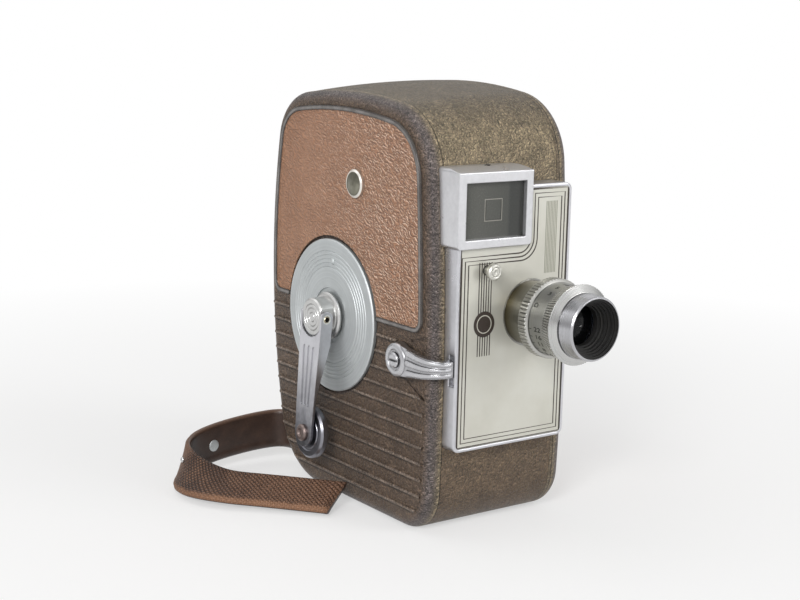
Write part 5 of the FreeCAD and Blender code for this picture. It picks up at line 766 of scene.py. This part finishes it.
def plate_lines(brown):
    """Three pinstripes, and a painted shadow along the gap between the plate and its bright frame."""
    line_width, shadow_line_width, shadow_line_inset = 0.4, 0.28, 0.14
    form = bmesh.new()
    for inset, under, beside, corner in ((0.4, 2.5, 1.0, 4.2), (1.55, 3.6, 2.1, 5.0), (2.75, 4.7, 3.3, 5.8)):
        raised_line(form, plate_path(inset, under, beside, corner), line_width)
    # Painted shadow of the gap round the plate's edge
    left, right = PLATE_LOW.x / MM + shadow_line_inset, PLATE_HIGH.x / MM - shadow_line_inset
    low, high = PLATE_LOW.z / MM + shadow_line_inset, PLATE_HIGH.z / MM - shadow_line_inset
    shadow_line = [(left, FINDER_LOW.z / MM), (left, low), (right, low), (right, high), (FINDER_HIGH.x / MM, high)]
    raised_line(form, shadow_line, shadow_line_width, closed=False)
    printed("plate_pinstripes", form, brown)


def plate_bars(name, finish, count, first, pitch, width, low, high):
    """Group of upright bars side by side."""
    form = bmesh.new()
    for number in range(count):
        x = first + number * pitch
        raised_line(form, [(x, low), (x, high)], width, closed=False)
    printed(name, form, finish)


def plate_roundel(brown):
    """Brown dot over the bars, with a plain pale ring in it."""
    centre, radius, thickness = (-11.25, 62.3), 3.7, 0.035
    ring_radius, ring_width, ring_rise = 2.5, 0.28, 0.05
    form = bmesh.new()
    ring_back, ring_front = [], []
    for x, z in circle_points(centre, radius):
        ring_back.append(form.verts.new((x * MM, PLATE_FRONT, z * MM)))
        ring_front.append(form.verts.new((x * MM, PLATE_FRONT - thickness * MM, z * MM)))
    form.faces.new(ring_front)
    for number, back in enumerate(ring_back):
        after = (number + 1) % len(ring_back)
        form.faces.new((back, ring_back[after], ring_front[after], ring_front[number]))
    printed("brown_roundel", form, brown)
    form = bmesh.new()
    raised_line(form, circle_points(centre, ring_radius), ring_width, ring_rise)
    printed("roundel_ring", form, ink("pale_ink", (0.6, 0.58, 0.5)))


def finder_mark():
    """Thin pale frame line printed on the finder's glass."""
    across, height, half, line_width, rise = -9.1, 94.4, 3.0, 0.36, 0.03
    corners = [(across + half * x, height + half * z) for x, z in ((-1, -1), (1, -1), (1, 1), (-1, 1))]
    form = bmesh.new()
    raised_line(form, corners, line_width, rise, front=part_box("finder_window")[0].y)
    printed("finder_mark_line", form, ink("mark_ink", (0.26, 0.25, 0.22)))


# Numbers round the lens

def engraved(name, words, ahead, angle, height, finish, quarter=False):
    """Short text bent round the lens barrel's sleeve, at a distance ahead of the plate, in millimetres.

    It reads with the lens pointing right, or turned by a quarter.
    """
    sleeve, lift, stretch, thickness, weight = 10.3, 0.012, 1.5, 0.02, 0.025
    curve = bpy.data.curves.new(name, "FONT")
    curve.body = words
    curve.size = height * MM
    curve.align_x = "CENTER"
    curve.align_y = "CENTER"
    curve.extrude = thickness * MM
    curve.offset = weight * MM
    holder = bpy.data.objects.new(name + "_words", curve)
    bpy.context.scene.collection.objects.link(holder)
    bpy.context.view_layer.update()
    mesh = bpy.data.meshes.new_from_object(holder.evaluated_get(bpy.context.evaluated_depsgraph_get()))
    bpy.data.objects.remove(holder)
    mesh.name = name
    for vertex in mesh.vertices:
        run, rise, out = vertex.co
        if quarter:
            run, rise = -rise, run
        else:
            run *= stretch
        here = math.radians(angle) + rise / (sleeve * MM)
        far = (sleeve + lift) * MM + out
        y = PLATE_FRONT - ahead * MM - run
        vertex.co = (LENS.x - far * math.cos(here), y, LENS.z + far * math.sin(here))
    mesh.materials.clear()
    new_object(name, mesh, finish)


def lens_numbers():
    """Aperture numbers and their ticks round the sleeve, and a plain distance scale beyond the index mark."""
    black = ink("scale_ink", (0.012, 0.012, 0.011))
    numbers_ahead, ticks_ahead, index_ahead = 15.2, 12.4, 13.2
    stop_height, tick_height, index_height, distance_height = 1.85, 1.3, 2.1, 1.7
    first_stop, stop_step, index_angle, first_distance, distance_step = -8, 12.5, 30, 54, 17
    for number, words in enumerate(("22", "16", "11", "8", "5.6", "4", "2.8")):
        angle = first_stop - number * stop_step
        engraved("stop_" + words.replace(".", "_"), words, numbers_ahead, angle, stop_height, black)
        engraved("stop_tick_" + str(number + 1), "I", ticks_ahead, angle, tick_height, black, quarter=True)
    engraved("stop_index", "D", index_ahead, index_angle, index_height, black, quarter=True)
    for number, words in enumerate(("3", "5", "10", "25")):
        angle = first_distance + number * distance_step
        engraved("distance_" + words, words, numbers_ahead, angle, distance_height, black)


# Wrist strap, in millimetres along its spline

def strap_spline():
    """Control points of the strap's centre line, from its clip inside the housing round to the free end."""
    return [(-18.4, 8.0, 11.3), (-18.4, 20.0, 11.3), (-18.4, 33.0, 11.3), (-18.6, 44.8, 11.3),
            (-30.0, 46.9, 10.8), (-46.5, 46.4, 9.2), (-58.6, 41.4, 7.4), (-64.0, 29.6, 6.4),
            (-60.0, 15.6, 5.6), (-47.4, 4.8, 4.9), (-33.6, -9.8, 4.4)]


def strap_section(half_thickness, half_width):
    """Cross section of the band, from the low edge up its outer face and down the back again."""
    edge_round, edge_share = 0.9, 0.4
    rim_height, rim_spread, rim_swell = 1.3, 0.9, 0.2
    steps = 18
    outer = []
    for number in range(steps + 1):
        height = -half_width + 2 * half_width * number / steps
        inside = min(1.0, (half_width - abs(height)) / edge_round)
        fullness = edge_share + (1 - edge_share) * math.sqrt(max(0.0, 1 - (1 - inside) ** 2))
        rim = math.exp(-((height + half_width - rim_height) / rim_spread) ** 2)
        outer.append((half_thickness * fullness * (1 - rim_swell + rim_swell * rim), height))
    back = [(-aside, height) for aside, height in reversed(outer)]
    return outer + back


def wrist_strap():
    """Flat woven band on its edge, swept along its spline and leaning back more towards its free end."""
    half_thickness, half_width, end_slant = 1.1, 6.35, 3.5
    lean_start, lean_end, lean = 66 * MM, 106 * MM, math.radians(60)
    samples = spline_samples(strap_spline(), "strap_line")
    section = strap_section(half_thickness, half_width)
    form = bmesh.new()
    rows = []
    lengths = []
    travel = 0.0
    for number, point in enumerate(samples):
        before = samples[max(number - 1, 0)]
        after = samples[min(number + 1, len(samples) - 1)]
        along = after - before
        along.z = 0
        along.normalize()
        if number:
            travel += (point - before).length
        lengths.append(travel)
        share = min(1.0, max(0.0, (travel - lean_start) / (lean_end - lean_start)))
        angle = lean * share * share * (3 - 2 * share)
        outward = Vector((along.y, -along.x, 0))
        up = Vector((0, 0, math.cos(angle))) - outward * math.sin(angle)
        face = outward * math.cos(angle) + Vector((0, 0, math.sin(angle)))
        row = []
        for aside, height in section:
            spot = point + face * (aside * MM) + up * (height * MM)
            if number == len(samples) - 1:
                spot += along * (end_slant * MM) * (height / half_width / 2)
            row.append(form.verts.new(spot))
        rows.append(row)
    count = len(section)
    for one, two in zip(rows, rows[1:]):
        for number in range(count):
            after = (number + 1) % count
            form.faces.new((one[number], one[after], two[after], two[number]))
    form.faces.new(list(reversed(rows[0])))
    form.faces.new(rows[-1])
    mesh = mesh_from(form, "wrist_strap", smooth=True)
    place = mesh.attributes.new("band_place", "FLOAT_VECTOR", "POINT")
    values = []
    for length in lengths:
        for number, (aside, height) in enumerate(section):
            values += [length, height * MM, 1.0 if number < count // 2 else 0.0]
    place.data.foreach_set("vector", values)
    strap = new_object("wrist_strap", mesh, woven_band("strap_weave"))
    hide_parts("strap")
    return samples, lengths


def strap_fitting(name, line, length, side, proud, rise, profile, finish):
    """Round metal piece on the outer (1) or inner (-1) face of the band, at a length along it."""
    samples, lengths = line
    number = min(range(len(samples)), key=lambda one: abs(lengths[one] - length * MM))
    along = samples[number + 1] - samples[number - 1]
    outward = Vector((along.y, -along.x, 0)).normalized() * side
    spot = samples[number] + outward * proud * MM + Vector((0, 0, rise * MM))
    small_dome(name, spot, outward, profile, finish)


# Small marks

def finder_hole_shade():
    """Painted shade of the small hole in the finder's sloping top."""
    across, slope_start, back, drop, slope = -8.0 * MM, -44.4 * MM, 1.0 * MM, 0.19 * MM, 0.1875
    spot = (across, slope_start - back, FINDER_HIGH.z - drop)
    small_dome("finder_hole_shade", spot, (0, -slope, 1), [(0.0, 0.09), (1.35, 0.08), (1.4, -0.15)],
               dull_black("hole_black"))


def disc_pip(finish):
    """Small raised pip near the top of the winding disc."""
    sunk, along, height = 0.05 * MM, 5.4 * MM, 73.4 * MM
    small_dome("disc_pip", (DISC_FACE - sunk, along, height), (-1, 0, 0),
               [(0.0, 0.5), (0.4, 0.46), (0.75, 0.3), (0.95, 0.02), (0.95, -0.4)], finish)


# Floor, light and background

def background():
    """White for the camera and glass, a grey-to-white room for metal, a plain soft level for the rest."""
    room_light = 0.3
    lowest, highest = -0.3, 0.9
    world = bpy.data.worlds.new("studio")
    bpy.context.scene.world = world
    world.use_nodes = True
    tree = world.node_tree

    def node(kind, **settings):
        made = tree.nodes.new(kind)
        for key, value in settings.items():
            setattr(made, key, value)
        return made

    seen = tree.nodes["Background"]
    seen.inputs["Color"].default_value = (1, 1, 1, 1)
    soft = node("ShaderNodeBackground")
    soft.inputs["Color"].default_value = (1.0, 0.99, 0.97, 1)
    soft.inputs["Strength"].default_value = room_light
    room = node("ShaderNodeBackground")
    path = node("ShaderNodeLightPath")
    direction = node("ShaderNodeTexCoord").outputs["Generated"]
    split = node("ShaderNodeSeparateXYZ")
    tree.links.new(direction, split.inputs[0])
    steep = node("ShaderNodeMapRange")
    steep.inputs["From Min"].default_value = lowest
    steep.inputs["From Max"].default_value = highest
    tree.links.new(split.outputs["Z"], steep.inputs["Value"])
    grade = node("ShaderNodeValToRGB")
    stops = ((0.0, 0.75), (0.2, 0.5), (0.3, 0.34), (0.45, 0.62), (0.62, 1.0), (1.0, 0.7))
    while len(grade.color_ramp.elements) < len(stops):
        grade.color_ramp.elements.new(0.5)
    for point, (place, value) in zip(grade.color_ramp.elements, stops):
        point.position = place
        point.color = (value, value, value, 1)
    tree.links.new(steep.outputs["Result"], grade.inputs["Fac"])
    tree.links.new(grade.outputs["Color"], room.inputs["Color"])
    white = node("ShaderNodeMath", operation="MAXIMUM")
    tree.links.new(path.outputs["Is Camera Ray"], white.inputs[0])
    tree.links.new(path.outputs["Is Transmission Ray"], white.inputs[1])
    shiny = node("ShaderNodeMixShader")
    tree.links.new(path.outputs["Is Glossy Ray"], shiny.inputs[0])
    tree.links.new(soft.outputs[0], shiny.inputs[1])
    tree.links.new(room.outputs[0], shiny.inputs[2])
    mix = node("ShaderNodeMixShader")
    tree.links.new(white.outputs[0], mix.inputs[0])
    tree.links.new(shiny.outputs[0], mix.inputs[1])
    tree.links.new(seen.outputs[0], mix.inputs[2])
    tree.links.new(mix.outputs[0], tree.nodes["World Output"].inputs["Surface"])


def floor():
    """Pale table top that keeps the camera's shadow and turns to plain white further off, in metres."""
    size, shadow_to, white_from = 4.0, 0.08, 0.38
    form = bmesh.new()
    bmesh.ops.create_circle(form, cap_ends=True, radius=size, segments=96)
    mesh = mesh_from(form, "table_top")
    table = bpy.data.objects.new("table_top", mesh)
    bpy.context.scene.collection.objects.link(table)
    finish = Finish("table_white", roughness=0.7)
    path = finish.add("ShaderNodeLightPath")
    finish.feed(Base_Color=finish.ramp(path.outputs["Is Diffuse Ray"], (0.0, 0.97), (1.0, 0.5)))
    far = finish.climb(finish.radius("Z", (0, 0, 0)), shadow_to, white_from)
    seen = finish.maths("MAXIMUM", path.outputs["Is Camera Ray"], path.outputs["Is Glossy Ray"])
    seen = finish.maths("MAXIMUM", seen, path.outputs["Is Transmission Ray"])
    white = finish.add("ShaderNodeEmission")
    mix = finish.add("ShaderNodeMixShader")
    finish.set(mix, 0, finish.times(seen, finish.plus(0.5, finish.times(far, 0.5))))
    finish.set(mix, 1, finish.shader.outputs[0])
    finish.set(mix, 2, white.outputs[0])
    finish.set(finish.tree.nodes["Material Output"], "Surface", mix.outputs[0])
    mesh.materials.append(finish.material)


def soft_light(name, place, size, power):
    """Rectangular lamp that faces the middle of the object, in metres and watts."""
    target = Vector((0.0, 0.0, 0.06))
    data = bpy.data.lights.new(name, "AREA")
    data.shape = "RECTANGLE"
    data.size, data.size_y = size
    data.energy = power
    lamp = bpy.data.objects.new(name, data)
    lamp.location = place
    lamp.rotation_euler = (target - Vector(place)).to_track_quat("-Z", "Y").to_euler()
    bpy.context.scene.collection.objects.link(lamp)


# The scene

photo_camera()
bpy.context.scene.view_settings.view_transform = "Standard"
strap_line = wrist_strap()


def dress(finish, *names):
    """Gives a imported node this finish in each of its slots."""
    for name in names:
        mesh = nodes[name].data
        mesh.materials.clear()
        mesh.materials.append(finish.material)


disc_aluminium = turned_metal("disc_aluminium", (0.57, 0.595, 0.6), 0.6, "X", DISC, ring=0.5, depth=0.008,
                              dull=0.95)
button_metal = turned_metal("button_metal", (0.66, 0.65, 0.6), 0.4, "Y", BUTTON, corner_shade=0.6, edge=0.4)
finder_chrome = polished("finder_chrome", (0.68, 0.68, 0.7), 0.3, corner_shade=1.0, edge=0.45, metallic=0.8)
rivet_steel = polished("rivet_steel", (0.58, 0.58, 0.58), 0.22)

dress(band_paint("band_enamel"), "housing_band", "base_plate")
dress(cover_paint("cover_enamel"), "side_cover", "film_door")
dress(leatherette("tan_leatherette"), "leather_panel", "door_panel")
dress(bead_metal("bead_grey"), "panel_bead")
dress(disc_aluminium, "winding_disc")
dress(stud_metal("stud_metal"), "cover_stud")
dress(ivory_plate("ivory_silver"), "face_plate")
dress(polished("tray_chrome", (0.62, 0.62, 0.65), 0.3, corner_shade=1.2, edge=0.6, metallic=0.85), "front_tray")
dress(finder_chrome, "finder_housing")
dress(finder_glass("finder_pane"), "finder_window")
dress(black_lacquer("inner_black"), "finder_tube", "finder_eyepiece", "shutter_disc")
dress(lens_glass("clear_glass", (0.93, 0.97, 0.95)), "eyepiece_lens", "rear_element")
dress(lens_glass("coated_glass", (0.25, 0.28, 0.36)), "front_element")
dress(lens_metal("lens_nickel", (0.5, 0.495, 0.47), 0.3), "lens_socket", "aperture_ring")
dress(barrel_metal("barrel_nickel"), "lens_barrel")
dress(lens_metal("focus_nickel", (0.56, 0.56, 0.55), 0.25), "focus_ring")
dress(hood_metal("hood_nickel"), "front_hood")
dress(polished("blued_steel", (0.13, 0.15, 0.19), 0.3), "iris_leaves", "mainspring")
dress(crank_metal("crank_steel"), "crank_arm")
dress(polished("crank_chrome", (0.62, 0.62, 0.61), 0.36, corner_shade=0.8, deep=0.4), "crank_hub")
dress(pin_metal("pin_brass"), "crank_pin")
dress(polished("knob_steel", (0.27, 0.27, 0.3), 0.3, corner_shade=1.0), "crank_knob")
dress(polished("rivet_copper", (0.24, 0.19, 0.175), 0.36), "knob_rivet")
dress(lever_metal("lever_chrome"), "release_lever", "lever_screw")
dress(button_metal, "front_button")
dress(polished("lock_chrome", (0.55, 0.55, 0.56), 0.28, corner_shade=1.0), "door_lock")
dress(rivet_steel, "strap_rivets", "tripod_bush")
dress(polished("movement_steel", (0.5, 0.5, 0.5), 0.3, corner_shade=0.8), "mechanism_plate", "bridge_pillars",
      "bridge_screws", "shutter_bracket", "strap_bracket", "ratchet_pawl", "winding_arbor", "ratchet_wheel",
      "second_arbor", "third_arbor", "governor_rotor", "shutter_shaft", "film_claw", "take_up_spool",
      "aperture_plate", "pressure_plate")
dress(polished("spool_aluminium", (0.5, 0.525, 0.53), 0.33), "guide_rollers", "feed_spindle",
      "take_up_spindle")
dress(polished("movement_brass", (0.72, 0.5, 0.2), 0.26, corner_shade=0.8), "mechanism_bridge", "spring_barrel",
      "bevel_wheel")

brown_ink = ink("brown_ink", (0.035, 0.024, 0.018))
plate_lines(brown_ink)
plate_bars("brown_bars", brown_ink, count=6, first=-13.4, pitch=0.86, width=0.34, low=53.2, high=79.8)
plate_bars("grey_bars", ink("grey_ink", (0.3, 0.3, 0.24)), count=8, first=10.3, pitch=0.55, width=0.3,
           low=75.1, high=95.8)
plate_roundel(brown_ink)
lens_numbers()
finder_mark()
strap_fitting("strap_stud", strap_line, length=86, side=1, proud=0.85, rise=3.4,
              profile=[(0.0, 0.55), (0.4, 0.5), (0.75, 0.32), (0.95, 0.05), (0.95, -0.3)],
              finish=rivet_steel)
strap_fitting("strap_eyelet", strap_line, length=62.5, side=-1, proud=1.0, rise=-0.6,
              profile=[(0.0, 0.2), (1.2, 0.18), (1.75, 0.12), (1.9, 0.0), (1.9, -0.3)],
              finish=disc_aluminium)
finder_hole_shade()
disc_pip(disc_aluminium)

background()
floor()
soft_light("key_softbox", (-0.95, -0.75, 0.65), size=(0.4, 0.4), power=11.0)
soft_light("front_softbox", (0.6, -0.95, 0.5), size=(0.5, 0.6), power=5.0)
soft_light("top_softbox", (-0.3, 0.4, 1.0), size=(0.8, 0.8), power=1.8)
